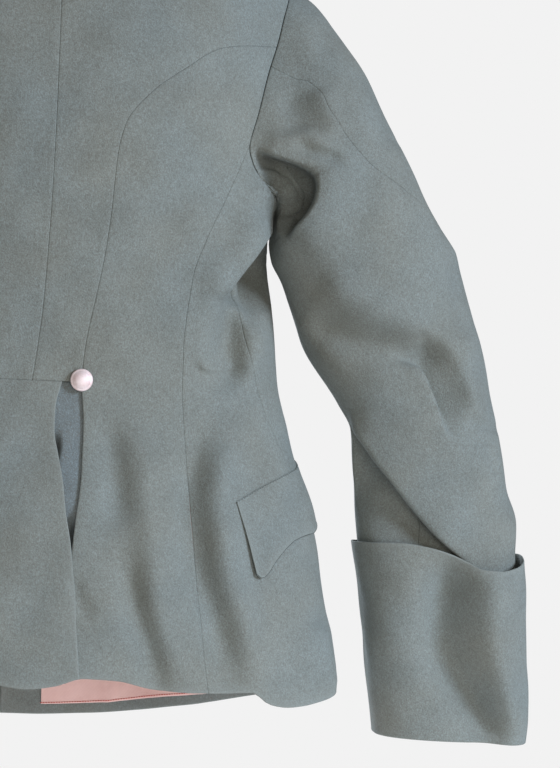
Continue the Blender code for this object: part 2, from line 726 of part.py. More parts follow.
def cuffs(wool):
    """Turned-back cuffs: open at the top, folded under at the bottom to meet the sleeve."""
    rings = np.arange(len(CUFF_RINGS["back"]), dtype=float)[:, None]
    angle = np.linspace(0, 360, COLUMNS_CUFF, endpoint=False)[None]
    outer = section(CUFF_RINGS, rings + 0 * angle, angle + 0 * rings)
    outer[0, :, 2] -= smooth(angle[0], CUFF_RIM["angle"], CUFF_RIM["dip"])
    inward = unit((outer.mean(axis=1, keepdims=True) - outer) * [1, 1, 0])
    foot, turn = outer[-1], inward[-1]
    fold = [foot + turn * CUFF_FOLD_RADIUS - [0, 0, CUFF_FOLD_RADIUS]]
    fold.append(foot + turn * 2 * CUFF_FOLD_RADIUS)
    fold.append(foot + turn * 2 * CUFF_FOLD_RADIUS + [0, 0, CUFF_RETURN])
    sheet = np.concatenate([outer, fold])
    inner = [ring + way * CUFF_WALL for ring, way in zip(outer, inward)]
    inner.append(fold[0] + [0, 0, CUFF_WALL])
    inner += [ring - turn * CUFF_WALL for ring in fold[1:]]
    for side, suffix in ((1, "right"), (-1, "left")):
        wall_object(f"cuff_{suffix}", sheet, np.array(inner), side, wool, closed=True)


# Pocket flaps and buttons
def flap_depth(share):
    """Depth of a flap along its width: a rounded lobe at either end and a blunt point in the middle."""
    return smooth(np.minimum(share, 1 - share), FLAP_DEPTH["share"], FLAP_DEPTH["depth"])


def flaps(wool):
    corner = on_back([FLAP_CORNER])[0]
    shares = np.linspace(0, 1, 13)
    down = np.linspace(0, 1, 4)
    places = np.zeros((len(down), len(shares), 2))
    for c, share in enumerate(shares):
        run_along, fall = share * FLAP_WIDTH, flap_depth(share) * down[::-1]
        drops = corner[1] - run_along * math.sin(FLAP_SLANT) + fall * math.cos(FLAP_SLANT)
        wanted = run_along * math.cos(FLAP_SLANT) + fall * math.sin(FLAP_LEAN)
        places[:, c, 0] = [angle_after(corner[0], length, drop) for length, drop in zip(wanted, drops)]
        places[:, c, 1] = drops
    lift = WALL + FLAP_GAP + FLAP_PROUD * ease(down[::-1])[:, None] + 0 * shares[None]
    for side, suffix in ((1, "right"), (-1, "left")):
        panel(f"pocket_flap_{suffix}", places, side, wool, lift=lift, sewn=())


def angle_after(start, length, drop):
    """The angle that lies this far round the body from a start angle, at one drop."""
    angles = np.linspace(start, start + 90, DENSE)
    steps = np.linalg.norm(np.diff(plain_body(angles, drop + 0 * angles), axis=0), axis=1)
    return np.interp(length, np.concatenate([[0], np.cumsum(steps)]), angles)


def button(name, place, side, lift, silver):
    """A domed button turned from its profile, standing on the cloth along its normal."""
    point, normal = (value[0] for value in body_sheet(np.array([place], float), np.array([lift])))
    mesh = bpy.data.meshes.new(name)
    size = np.array([BUTTON_RADIUS, BUTTON_HEIGHT]) * MM
    points = [(radius, 0.0, height) for radius, height in np.array(BUTTON_PROFILE) * size]
    mesh.from_pydata(points, [(i, i + 1) for i in range(len(points) - 1)], [])
    obj = placed(name, mesh, silver)
    screw = obj.modifiers.new("turned", "SCREW")
    screw.steps = screw.render_steps = BUTTON_STEPS
    screw.use_merge_vertices = True
    screw.merge_threshold = 0.00005
    screw.use_smooth_shade = True
    world = np.array([-side, 1, 1])
    obj.location = (point + normal * BUTTON_STAND_OFF) * MM * world
    obj.rotation_mode = "QUATERNION"
    obj.rotation_quaternion = Vector(normal * world).to_track_quat("Z", "Y")


def buttons(silver):
    for side, suffix in ((1, "right"), (-1, "left")):
        waist = on_back([WAIST_BUTTON[suffix]])[0]
        button(f"waist_button_{suffix}", waist, side, 0.0, silver)
    drops = np.linspace(0, HEM["drop"].max(), DENSE)
    heights = np.linspace(FRONT_BUTTON_TOP, FRONT_BUTTON_BOTTOM, FRONT_BUTTONS)
    for i, drop in enumerate(np.interp(heights, drops - neck_dip(180.0, drops), drops)):
        button(f"front_button_{i + 1}", (180.0, drop), -1, WALL + OVERLAP_GAP, silver)


def finish(name, colour, roughness, metallic=0.0):
    material = bpy.data.materials.new(name)
    material.use_nodes = True
    shader = material.node_tree.nodes["Principled BSDF"]
    shader.inputs["Base Color"].default_value = (*colour, 1)
    shader.inputs["Roughness"].default_value = roughness
    shader.inputs["Metallic"].default_value = metallic
    return material


def main():
    for obj in list(bpy.data.objects):
        bpy.data.objects.remove(obj)
    bpy.context.scene.collection.children.link(bpy.data.collections.new("officer_tunic"))
    wool = finish("field grey wool", WOOL, 0.95)
    shade_wool = finish("field grey wool, unfaded", WOOL_SHADE, 0.95)
    pink = finish("pink lining", LINING_PINK, 0.6)
    silver = finish("silvered button metal", SILVERED, 0.45, 0.8)
    seams = cut_seams()
    body_panels(seams, wool)
    linings(seams, pink)
    tail(seams, wool)
    vent_underlays(shade_wool)
    collar(seams, wool)
    sleeves(seams, wool)
    cuffs(wool)
    flaps(wool)
    buttons(silver)


main()
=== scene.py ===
"""Officer tunic, dressed: cloth shells with their folds, seams, sewing and finishes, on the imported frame.

Lengths are in millimetres and become metres as each mesh is made. A garment point is (across, back, up) from
the nape: across runs to the wearer's right on a right-hand piece and is mirrored for a left-hand one. A place
on the body is an angle round from the middle of the back and a drop below the nape. A place on a sleeve is a
ring counted from the armhole and a share of the way between the two seams.
"""

import logging
import math
from dataclasses import dataclass, field
from enum import Enum
from typing import Any, Sequence

import bpy
import numpy as np
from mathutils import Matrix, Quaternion, Vector


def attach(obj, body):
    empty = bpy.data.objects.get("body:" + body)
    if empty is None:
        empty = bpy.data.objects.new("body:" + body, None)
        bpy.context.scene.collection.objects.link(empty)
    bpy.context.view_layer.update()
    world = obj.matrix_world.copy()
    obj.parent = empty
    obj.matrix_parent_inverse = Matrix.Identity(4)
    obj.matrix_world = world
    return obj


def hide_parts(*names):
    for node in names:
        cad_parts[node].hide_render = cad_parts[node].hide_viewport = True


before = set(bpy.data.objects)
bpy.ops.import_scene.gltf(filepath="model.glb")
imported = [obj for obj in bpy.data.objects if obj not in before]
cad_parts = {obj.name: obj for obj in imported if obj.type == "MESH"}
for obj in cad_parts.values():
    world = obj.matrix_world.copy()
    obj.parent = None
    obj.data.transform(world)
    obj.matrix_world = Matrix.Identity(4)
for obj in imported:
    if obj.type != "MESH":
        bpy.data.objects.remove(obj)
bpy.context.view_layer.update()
LOG = logging.getLogger("officer_tunic")

MM = 0.001
FINE = 7
RING_STEPS = 14
SEED = 11
SHARP_ANGLE = math.radians(62)

Array = np.ndarray
Rows = Sequence[Sequence[float]]
Table = dict[str, Array]
Material, Mesh, Piece = bpy.types.Material, bpy.types.Mesh, bpy.types.Object
Node, Socket, Tree = bpy.types.Node, bpy.types.NodeSocket, bpy.types.NodeTree
Links, Values = dict[str | int, Socket], dict[str | int, Any]


class Side(Enum):
    """The wearer's side that a piece belongs to."""

    RIGHT = 1
    LEFT = -1

    @property
    def suffix(self) -> str:
        """The ending of the names of this side's pieces."""
        return self.name.lower()

    @property
    def mirror(self) -> Array:
        """Factors that turn a garment point of this side into one of the row frame."""
        return np.array([-self.value, 1, 1])


class Face(Enum):
    """The way that a crease faces."""

    BACK = 1
    FRONT = -1


class Edge(Enum):
    """How an edge of cloth is finished."""

    SEWN = "rolled into a seam"
    FREE = "turned under and rounded"


def edged(*sewn: str) -> dict[str, Edge]:
    """The four edges of a piece: these are sewn and the others free."""
    return {side: Edge.SEWN if side in sewn else Edge.FREE for side in ("left", "right", "lower", "upper")}


class Held(Enum):
    HUNG = "hung"
    FOLDED = "folded"


# Curves and tables
def table(names: str, *rows: Sequence[float]) -> Table:
    """Turns rows into named columns.

    Args:
        names: Column names, parted by spaces.
        rows: One row of numbers for each entry.

    Returns:
        The columns by name.
    """
    return dict(zip(names.split(), np.array(rows, float).T))


def tabled(names: str, *rows: Sequence[float]) -> Any:
    """A dataclass field that holds a table."""
    return field(default_factory=lambda: table(names, *rows))


def smooth(at: Array, knots: Array, values: Array) -> Array:
    """Reads a smooth curve that never swings past its knots.

    Args:
        at: Where to read it.
        knots: Rising places of the knots.
        values: Values at the knots.

    Returns:
        The values at the wanted places.
    """
    secants = np.diff(values) / np.diff(knots)
    before, after = secants[:-1], secants[1:]
    turning = before * after <= 0
    inner = np.where(turning, 0.0, 2 * before * after / np.where(turning, 1.0, before + after))
    slopes = np.concatenate([secants[:1], inner, secants[-1:]])
    at = np.clip(at, knots[0], knots[-1])
    i = np.clip(np.searchsorted(knots, at, side="right") - 1, 0, len(knots) - 2)
    span = knots[i + 1] - knots[i]
    t = (at - knots[i]) / span
    rise = values[i + 1] - values[i]
    bend_in = slopes[i] * span - rise
    bend_out = rise - slopes[i + 1] * span
    return values[i] + t * rise + t * (1 - t) * ((1 - t) * bend_in + t * bend_out)


def ease(share: Array) -> Array:
    """A soft step from 0 to 1."""
    share = np.clip(share, 0.0, 1.0)
    return share * share * (3 - 2 * share)


def unit(vectors: Array) -> Array:
    """Vectors scaled to length one."""
    return vectors / np.maximum(np.linalg.norm(vectors, axis=-1, keepdims=True), 1e-9)


def stacked(*columns: Array) -> Array:
    """Columns side by side along a new last axis."""
    return np.stack(np.broadcast_arrays(*columns), axis=-1)


def lengths_along(points: Array) -> Array:
    """Length along a line of points, up to each of them."""
    return np.concatenate([[0], np.cumsum(np.linalg.norm(np.diff(points, axis=0), axis=1))])


def joined(*runs: Array) -> Array:
    """Runs of places that follow each other, as one."""
    return np.concatenate([runs[0], *[one[1:] for one in runs[1:]]])


def unevenness(points: Array, height: float = 0.55) -> Array:
    """Slow swells of hanging cloth, from waves in many directions.

    Args:
        points: Places in the row frame, in millimetres.
        height: Size of a typical swell.

    Returns:
        How far each point stands out.
    """
    chance = np.random.default_rng(SEED)
    total = np.zeros(points.shape[:-1])
    for _ in range(16):
        way = unit(chance.normal(size=3))
        total += np.sin(points @ way * 2 * math.pi / chance.uniform(34, 105) + chance.uniform(0, 7))
    return height * total / math.sqrt(8)


# Creases
def along_path(path: Rows, points: Array, steps: int = 28) -> tuple[Array, Array, Array]:
    """Finds where points lie beside a smooth line, as seen from behind.

    Args:
        path: Rows of (across, drop).
        points: Garment points, one in each row.
        steps: Straight pieces that stand for the line.

    Returns:
        The distance to the right-hand side of the line, the share of the way along it and the way to its
        right.
    """
    rows = np.array(path, float)
    at = np.linspace(0, len(rows) - 1, steps + 1)
    line = stacked(*[smooth(at, np.arange(len(rows), dtype=float), rows[:, i]) for i in (0, 1)])
    seen = points[:, [0, 2]] * [1, -1]
    lengths = np.linalg.norm(np.diff(line, axis=0), axis=1)
    starts = np.concatenate([[0], np.cumsum(lengths)])
    best = np.full(len(points), np.inf)
    share, side, right = np.zeros(len(points)), np.ones(len(points)), np.zeros((len(points), 2))
    for i, (start, end) in enumerate(zip(line, line[1:])):
        along = (end - start) / max(lengths[i], 1e-9)
        reach = np.clip((seen - start) @ along, 0, lengths[i])
        away = seen - start - reach[:, None] * along
        distance = np.linalg.norm(away, axis=1)
        turn = np.array([-along[1], along[0]])
        nearer = distance < best
        best = np.where(nearer, distance, best)
        share = np.where(nearer, (starts[i] + reach) / starts[-1], share)
        side = np.where(nearer, np.where(away @ turn >= 0, 1.0, -1.0), side)
        right = np.where(nearer[:, None], turn, right)
    return best * side, share, right


def faded(share: Array, ends: float) -> Array:
    """Strength of a crease along its line, which dies out over a share of it at both ends."""
    return ease((share + 0.02) / ends) * ease((1.02 - share) / ends)


def inward(normals: Array) -> Array:
    """Ways in which folds are pressed: mostly in depth, so that the outline keeps its place."""
    return unit(normals * [0.3, 1, 0.3])


@dataclass(frozen=True)
class Crease:
    """A soft trough, or a ridge where the height is positive, along a line seen from one side."""

    height: float
    half_width: float
    path: Rows
    face: Face = Face.BACK
    ends: float = 0.35

    def shift(self, points: Array, normals: Array) -> Array:
        """How the crease moves points.

        Args:
            points: Garment points, one in each row.
            normals: Outward normals there.

        Returns:
            The move of each point.
        """
        distance, share, _ = along_path(self.path, points)
        turned = ease((normals[:, 1] * self.face.value + 0.05) / 0.45)
        height = self.height * np.exp(-((distance / self.half_width) ** 2)) * faded(share, self.ends) * turned
        return inward(normals) * height[:, None]


@dataclass(frozen=True)
class Roll:
    """Cloth that rolls over the hollow on the right-hand side of its line."""

    bulge: float
    hollow: float
    overhang: float
    reach: float
    path: Rows
    face: Face = Face.BACK
    ends: float = 0.22

    def shift(self, points: Array, normals: Array) -> Array:
        """How the roll moves points.

        Args:
            points: Garment points, one in each row.
            normals: Outward normals there.

        Returns:
            The move of each point.
        """
        distance, share, right = along_path(self.path, points)
        turned = normals[:, 1] * self.face.value
        firm = ease((turned - 0.1) / 0.4)[:, None]
        strength = faded(share, self.ends) * ease((turned + 0.6) / 0.6)
        at = (distance + self.overhang) / self.reach
        up, down, over = (smooth(at, ROLL["at"], ROLL[name]) for name in ("up", "down", "over"))
        height = (self.bulge * up - self.hollow * down) * strength
        sideways = right * firm * (self.overhang * over * strength)[:, None]
        ways = inward(normals) * firm + np.array([0, self.face.value, 0]) * (1 - firm)
        return ways * height[:, None] + stacked(sideways[:, 0], 0 * height, -sideways[:, 1])


# Section of a roll, from the cloth that swells before it to the hollow behind
ROLL = table(
    "at up down over",
    (-1.0, 0, 0, 0),
    (-0.55, 0.45, 0, 0.12),
    (-0.22, 0.95, 0, 0.7),
    (-0.08, 1, 0, 1),
    (0.03, 0.55, 0.25, 0.65),
    (0.12, 0.1, 0.7, -0.35),
    (0.25, 0, 1, -0.8),
    (0.5, 0, 0.8, -0.45),
    (1.0, 0, 0, 0),
)


# Grids of cloth
def with_edge_lines(places: Array, round_too: bool = False) -> Array:
    """Adds lines close to the edges of a grid of places, so that its edges can be rounded.

    Args:
        places: Grid of places, rows upwards and columns across.
        round_too: Whether the columns close on themselves and so need none.

    Returns:
        The grid with its added lines.
    """
    for axis in (0,) if round_too else (0, 1):
        last = places.shape[axis] - 1
        near = np.array([0, 0.08, 0.2, 0.36, 0.6])
        at = np.concatenate([near, np.arange(1, last), last - near[::-1]])
        low = np.minimum(at.astype(int), last - 1)
        share = (at - low).reshape((-1, 1, 1) if axis == 0 else (1, -1, 1))
        places = np.take(places, low, axis) * (1 - share) + np.take(places, low + 1, axis) * share
    return places


def grid_normals(points: Array, closed: bool = False) -> Array:
    """Outward normals of a grid of garment points.

    Args:
        points: The grid.
        closed: Whether the last column meets the first.

    Returns:
        One normal for each point.
    """
    if closed:
        around = np.roll(points, -1, axis=1) - np.roll(points, 1, axis=1)
    else:
        around = np.gradient(points, axis=1)
    return unit(np.cross(np.gradient(points, axis=0), around))


def edge_distance(points: Array, side: str) -> Array:
    """Length along the cloth from one edge of a grid.

    Args:
        points: The grid.
        side: Which edge: lower, upper, left or right.

    Returns:
        The length at each point.
    """
    axis = 0 if side in ("lower", "upper") else 1
    turned = np.flip(points, axis) if side in ("upper", "right") else points
    steps = np.linalg.norm(np.diff(turned, axis=axis), axis=-1)
    length = np.concatenate([np.zeros_like(np.take(steps, [0], axis)), np.cumsum(steps, axis=axis)], axis)
    return np.flip(length, axis) if side in ("upper", "right") else length


def parted(points: Array, gap: float, sides: Sequence[str]) -> Array:
    """Moves sewn edges inwards along the cloth, so that neighbours stay apart.

    Args:
        points: The grid.
        gap: How far the edge moves.
        sides: The sewn edges.

    Returns:
        The grid with its edges moved.
    """
    moved = points.copy()
    for side in sides:
        inward = unit(np.gradient(points, axis=0 if side in ("lower", "upper") else 1))
        share = np.exp(-edge_distance(points, side) / (3 * gap))[..., None]
        moved += inward * share * (gap if side in ("lower", "left") else -gap)
    return moved


@dataclass(frozen=True)
class EdgeShape:
    """Sizes of a sewn or turned edge."""

    seam_sink: float = 0.3
    seam_width: float = 0.9
    seam_ridge: float = 0.16
    ridge_place: float = 5.0
    ridge_width: float = 2.6
    gap: float = 0.1
    round_reach: float = 0.62
    round_depth: float = 0.45
    wear_reach: float = 4.0


@dataclass
class Cloth:
    """A cut piece of cloth as a grid of outer points, ready to become a shell."""

    name: str
    points: Array
    side: Side
    wall: float
    edges: dict[str, Edge]
    closed: bool = False
    shape: EdgeShape = field(default_factory=EdgeShape)

    def layers(self) -> tuple[Array, Array, Array]:
        """Shapes the edges.

        Returns:
            Outer points, inner points and the wear of the cloth from its free edges.
        """
        sewn = [side for side, edge in self.edges.items() if edge is Edge.SEWN]
        points = parted(self.points, self.shape.gap, sewn)
        normals = grid_normals(points, self.closed)
        outer, inner = points.copy(), points - normals * self.wall
        wear = np.zeros(points.shape[:2])
        for side, edge in self.edges.items():
            distance = edge_distance(self.points, side)
            if edge is Edge.SEWN:
                ridge = np.exp(-(((distance - self.shape.ridge_place) / self.shape.ridge_width) ** 2))
                sink = self.shape.seam_sink * (1 - ease(distance / self.shape.seam_width))
                sink -= self.shape.seam_ridge * ridge
                outer -= normals * sink[..., None]
                inner -= normals * sink[..., None]
            else:
                radius = self.shape.round_reach * self.wall
                left = np.clip(1 - distance / radius, 0, 1)
                rounding = self.shape.round_depth * self.wall * (1 - np.sqrt(1 - left**2))
                outer -= normals * rounding[..., None]
                inner += normals * rounding[..., None]
                wear = np.maximum(wear, np.exp(-distance / self.shape.wear_reach))
        return outer, inner, wear

    def faces(self) -> Array:
        """Joins the points.

        Returns:
            Four-sided faces of both layers and of the rims between them, all facing outwards.
        """
        rows, cols = self.points.shape[:2]
        index = np.arange(rows * cols).reshape(rows, cols)
        if self.closed:
            index = np.concatenate([index, index[:, :1]], axis=1)
        a, b, c, d = index[:-1, :-1], index[:-1, 1:], index[1:, 1:], index[1:, :-1]
        under = rows * cols
        layers = ((a, b, c, d), (d + under, c + under, b + under, a + under))
        quads = [stacked(*layer).reshape(-1, 4) for layer in layers]
        rims = [(index[0, 1:], index[0, :-1]), (index[-1, :-1], index[-1, 1:])]
        if not self.closed:
            rims += [(index[:-1, 0], index[1:, 0]), (index[1:, -1], index[:-1, -1])]
        quads += [stacked(first, second, second + under, first + under) for first, second in rims]
        faces = np.concatenate(quads)
        return faces if self.side is Side.RIGHT else faces[:, ::-1]

    def piece(self, finish: Material) -> Piece:
        """Makes the shell.

        Args:
            finish: The cloth's material.

        Returns:
            The object, at the origin.
        """
        outer, inner, wear = self.layers()
        across = edge_distance(self.points, "left")
        across = across - across[:, across.shape[1] // 2][:, None]
        cut = stacked(across, edge_distance(self.points, "lower")).reshape(-1, 2) * MM
        points = np.concatenate([outer.reshape(-1, 3), inner.reshape(-1, 3)]) * self.side.mirror * MM
        faces = self.faces()
        mesh = bpy.data.meshes.new(self.name)
        mesh.from_pydata(points.tolist(), [], faces.tolist())
        uv = mesh.uv_layers.new(name="cut")
        corners = np.concatenate([cut, cut])[faces.reshape(-1)]
        uv.data.foreach_set("uv", corners.astype(np.float32).reshape(-1))
        worn = mesh.attributes.new("wear", "FLOAT", "POINT")
        worn.data.foreach_set("value", np.concatenate([wear, wear]).astype(np.float32).reshape(-1))
        mesh.shade_smooth()
        mesh.set_sharp_from_angle(angle=SHARP_ANGLE)
        mesh.materials.append(finish)
        return placed(self.name, mesh)


def placed(name: str, data: bpy.types.ID) -> Piece:
    """Adds an object to the scene.

    Args:
        name: Its name.
        data: Its mesh, light or camera.

    Returns:
        The object.
    """
    obj = bpy.data.objects.new(name, data)
    bpy.context.scene.collection.objects.link(obj)
    return obj


def register(obj: Piece, slot: str, *nodes: str) -> Piece:
    """Ties a piece to the frame.

    Args:
        obj: The finished piece.
        slot: The record's material slot; not used.
        nodes: The nodes that it stands for.

    Returns:
        The piece.
    """
    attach(obj, "root")
    if nodes:
        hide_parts(*nodes)
    LOG.info("%s: %d faces for %s", obj.name, len(obj.data.polygons), ", ".join(nodes) or "its seam")
    return obj


def sew(
    cloth: Cloth,
    finish: Material,
    slot: str,
    node: str | None = None,
) -> Piece:
    """Makes a cut piece and ties it to the frame.

    Args:
        cloth: The cut piece.
        finish: Its material.
        slot: The record's material slot.
        node: The node that it stands for, where that isn't its own name.

    Returns:
        The piece.
    """
    obj = cloth.piece(finish)
    register(obj, slot, node or cloth.name.removeprefix("cloth_"))
    return obj


# Body
@dataclass
class BodyForm:
    """The filled-out body: rings below the nape, the folds pressed into them and the creases of the cloth."""

    rings: Table = tabled(
        "drop half_width back_depth front_depth squareness",
        (0, 66, 62, 64, 2.00),
        (14, 107, 74, 74, 2.00),
        (30, 160, 86, 82, 2.05),
        (45, 204, 94, 88, 2.10),
        (75, 206, 103, 95, 2.20),
        (120, 203, 111, 105, 2.30),
        (180, 199, 115, 114, 2.35),
        (240, 196, 112, 118, 2.35),
        (300, 198, 103, 114, 2.30),
        (350, 203, 94, 107, 2.25),
        (396, 210, 88, 102, 2.20),
        (440, 222, 92, 104, 2.20),
        (500, 242, 106, 113, 2.20),
        (560, 254, 119, 124, 2.20),
        (620, 265, 130, 134, 2.20),
        (720, 281, 146, 148, 2.20),
    )
    hem: Table = tabled(
        "angle drop",
        (-20, 641), (-10, 648), (0, 651), (10, 648), (20, 641), (30, 642), (40, 648), (50, 651),
        (62.3, 650.7), (63.2, 655), (64.5, 659.6), (66, 662), (69, 663.7), (72, 663.2), (76, 661.3),
        (82, 657.8), (88, 655), (94, 655.3), (103, 660), (115, 671), (130, 685), (150, 695), (170, 699),
        (180, 700), (200, 699),
    )
    folds: Table = tabled(
        "start_angle start_drop end_angle end_drop half_width height",
        (73, 240, 61, 335, 17, 9),
        (84, 268, 75, 345, 15, -11),
        (79, 590, 80, 662, 26, 8),
        (120, 470, 124, 680, 26, -6),
        (140, 480, 143, 690, 26, 6),
        (108, 300, 118, 420, 22, -5),
        (150, 180, 130, 300, 30, -5),
    )
    creases: Sequence[Crease | Roll] = (
        Roll(
            6, 22, 5, 40,
            [(159, 326), (163, 315), (169, 305), (178, 290), (189, 272), (200, 254), (208, 238),
             (211, 220)],
            ends=0.16,
        ),
        Crease(-13, 14, [(174, 275), (166, 300), (162, 326), (162, 351), (162, 379), (163, 404)], ends=0.3),
        Crease(8, 12, [(190, 290), (184, 325), (183, 356), (181, 388), (181, 403)], ends=0.3),
        Roll(1, 4, 1, 22, [(131, 370), (137, 378), (145, 382), (154, 382), (163, 379), (170, 370)], ends=0.3),
        Crease(10, 15, [(185, 206), (198, 218), (206, 230), (208, 246)]),
        Crease(-3.6, 14, [(158, 178), (146, 197), (134, 220), (115, 244), (97, 275), (81, 300), (65, 323)]),
        Crease(-1.8, 8, [(31, 234), (45, 230), (61, 226), (78, 221), (95, 216)]),
        Crease(-6.5, 12, [(54, 419), (63, 444), (67, 469), (69, 494), (75, 522)]),
        Crease(-8, 12, [(76, 528), (82, 556), (88, 582), (99, 612), (108, 638), (118, 668)], ends=0.3),
        Crease(
            5, 13,
            [(79, 418), (88, 443), (94, 468), (95, 493), (99, 518), (102, 542), (104, 567), (110, 592),
             (121, 620), (133, 662)],
            ends=0.3,
        ),
        Crease(
            -10, 14,
            [(144, 405), (139, 437), (132, 465), (130, 491), (133, 516), (138, 541), (145, 566), (154, 590),
             (165, 619), (178, 665)],
            ends=0.3,
        ),
        Crease(
            9, 14,
            [(173, 409), (168, 439), (160, 465), (157, 491), (160, 516), (165, 541), (172, 566), (181, 590),
             (190, 619), (201, 665)],
            ends=0.3,
        ),
        Crease(-3, 6, [(36, 556), (41, 575), (54, 592)], ends=0.3),
        Crease(-2.4, 14, [(60, 180), (66, 260), (70, 330)], Face.FRONT),
        Crease(-2.4, 10, [(120, 370), (90, 395), (60, 400)], Face.FRONT),
        Crease(2.0, 14, [(110, 430), (122, 540), (130, 660)], Face.FRONT),
        Crease(-2.0, 12, [(80, 440), (86, 540), (92, 680)], Face.FRONT),
    )
    neck_front_dip: float = 62.0
    neck_side_rise: float = 21.0
    neck_dip_reach: float = 150.0

    def column(self, name: str, drop: Array) -> Array:
        """One column of the ring table at these drops."""
        return smooth(drop, self.rings["drop"], self.rings[name])

    def neck_dip(self, angle: Array, drop: Array) -> Array:
        """Tips the rings up at the sides of the neck and down at its front.

        Args:
            angle: Degrees round from the middle of the back.
            drop: Lengths below the nape.

        Returns:
            How far each point rises.
        """
        turn = np.radians(angle)
        dip = self.neck_side_rise * np.sin(turn) ** 2 - self.neck_front_dip * ((1 - np.cos(turn)) / 2) ** 2
        return dip * ease(1 - drop / self.neck_dip_reach)

    def plain(self, angle: Array, drop: Array) -> Array:
        """Garment points of the rings alone.

        Args:
            angle: Degrees round from the middle of the back.
            drop: Lengths below the nape.

        Returns:
            The points.
        """
        angle, drop = np.broadcast_arrays(np.asarray(angle, float), np.asarray(drop, float))
        turn = np.radians(angle)
        power = self.column("squareness", drop)
        depth = np.where(np.cos(turn) >= 0, self.column("back_depth", drop), self.column("front_depth", drop))
        wide = np.abs(np.sin(turn)) / self.column("half_width", drop)
        deep = np.abs(np.cos(turn)) / depth
        radius = (wide**power + deep**power) ** (-1 / power)
        up = self.neck_dip(angle, drop) - drop
        return stacked(radius * np.sin(turn), radius * np.cos(turn), up)

    def plain_normals(self, angle: Array, drop: Array) -> Array:
        """Outward normals of the rings alone."""
        round_way = self.plain(angle + 0.2, drop) - self.plain(angle - 0.2, drop)
        return unit(np.cross(round_way, self.plain(angle, drop + 0.5) - self.plain(angle, drop - 0.5)))

    def points(self, places: Array, side: Side = Side.RIGHT) -> Array:
        """Garment points of the cloth with its folds, creases and swells.

        Args:
            places: Array of (angle, drop).
            side: The wearer's side, which sets the swells.

        Returns:
            The points.
        """
        angle, drop = places[..., 0].reshape(-1), places[..., 1].reshape(-1)
        normals = self.plain_normals(angle, drop)
        starts = self.plain(self.folds["start_angle"], self.folds["start_drop"])
        ends = self.plain(self.folds["end_angle"], self.folds["end_drop"])
        plain = self.plain(angle, drop)
        points = plain + normals * pressed(plain, starts, ends, self.folds)[:, None]
        return creased(points, normals, self.creases, side).reshape(*places.shape[:-1], 3)

    def sheet(self, places: Array, side: Side, lift: Array | float = 0.0) -> Array:
        """Garment points of a grid of cloth that lies out from, or in under, the body's surface.

        Args:
            places: Grid of (angle, drop).
            side: The wearer's side.
            lift: How far out the cloth lies.

        Returns:
            The grid of points.
        """
        points = self.points(places, side)
        return points + grid_normals(points) * np.broadcast_to(lift, points.shape[:2])[..., None]

    def angle_at(self, across: Array, drop: Array) -> Array:
        """Finds points of the back by their place across.

        Args:
            across: Lengths from the middle.
            drop: Lengths below the nape.

        Returns:
            Their angles.
        """
        half, depth, power = (self.column(name, drop) for name in ("half_width", "back_depth", "squareness"))
        back = depth * (1 - np.abs(across / half) ** power) ** (1 / power)
        return np.degrees(np.arctan2(across, back))

    def on_back(self, rows: Rows) -> Array:
        """Rows of (across, drop) as (angle, drop)."""
        rows = np.array(rows, float)
        return stacked(self.angle_at(rows[:, 0], rows[:, 1]), rows[:, 1])

    def hem_drop(self, angle: Array) -> Array:
        """Where the cloth ends at these angles."""
        return smooth(angle, self.hem["angle"], self.hem["drop"])

    def hem_run(self, start: float, end: float, intervals: int) -> Array:
        """Places along the hem."""
        angles = np.linspace(start, end, intervals + 1)
        return stacked(angles, self.hem_drop(angles))

    def run(self, rows: Rows, intervals: int, first: float = 0.0, last: float | None = None) -> Array:
        """Evenly spaced places along a smooth curve.

        Args:
            rows: Knots as (angle, drop).
            intervals: How many steps to take.
            first: Knot to start at.
            last: Knot to end at, or the last one.

        Returns:
            The places.
        """
        rows = np.array(rows, float)
        knots = np.arange(len(rows), dtype=float)
        at = np.linspace(first, knots[-1] if last is None else last, 600)
        places = stacked(*[smooth(at, knots, rows[:, i]) for i in (0, 1)])
        length = lengths_along(self.plain(places[:, 0], places[:, 1]))
        even = np.linspace(0, length[-1], intervals + 1)
        return stacked(*[np.interp(even, length, places[:, i]) for i in (0, 1)])

    def patch(
        self, lower: Array, right: Array, upper: Array, left: Array, middle: float = 0.0
    ) -> Array:
        """Fills the space between four seams.

        Args:
            lower: Seam from left to right.
            right: Seam upwards.
            upper: Seam from left to right.
            left: Seam upwards.
            middle: Angle of the line that the cloth is unrolled from.

        Returns:
            Grid of (angle, drop).
        """
        unrolled = []
        for seam in (lower, right, upper, left):
            width = (seam[..., 0] - middle) / 90 * self.column("half_width", seam[..., 1])
            unrolled.append(stacked(width, seam[..., 1]))
        lower, right, upper, left = unrolled
        u = np.linspace(0, 1, len(lower))[None, :, None]
        v = np.linspace(0, 1, len(left))[:, None, None]
        between = (1 - v) * lower[None] + v * upper[None] + (1 - u) * left[:, None] + u * right[:, None]
        between -= (1 - v) * ((1 - u) * lower[0] + u * lower[-1]) + v * ((1 - u) * upper[0] + u * upper[-1])
        angle = middle + between[..., 0] * 90 / self.column("half_width", between[..., 1])
        return stacked(angle, between[..., 1])


def pressed(points: Array, starts: Array, ends: Array, folds: Table) -> Array:
    """Height of the large folds at points.

    Args:
        points: Garment points, one in each row.
        starts: Where each fold starts.
        ends: Where each fold ends.
        folds: Table with the half widths and heights.

    Returns:
        The summed height at each point.
    """
    total = np.zeros(len(points))
    for start, end, half_width, height in zip(starts, ends, folds["half_width"], folds["height"]):
        along = end - start
        share = np.clip(((points - start) @ along) / max(float(along @ along), 1e-9), 0.0, 1.0)
        distance = np.linalg.norm(points - start - share[:, None] * along, axis=1)
        strength = ease(3 * share + 0.25) * ease(3 * (1 - share) + 0.25)
        total += height * np.exp(-((distance / half_width) ** 2)) * strength
    return total


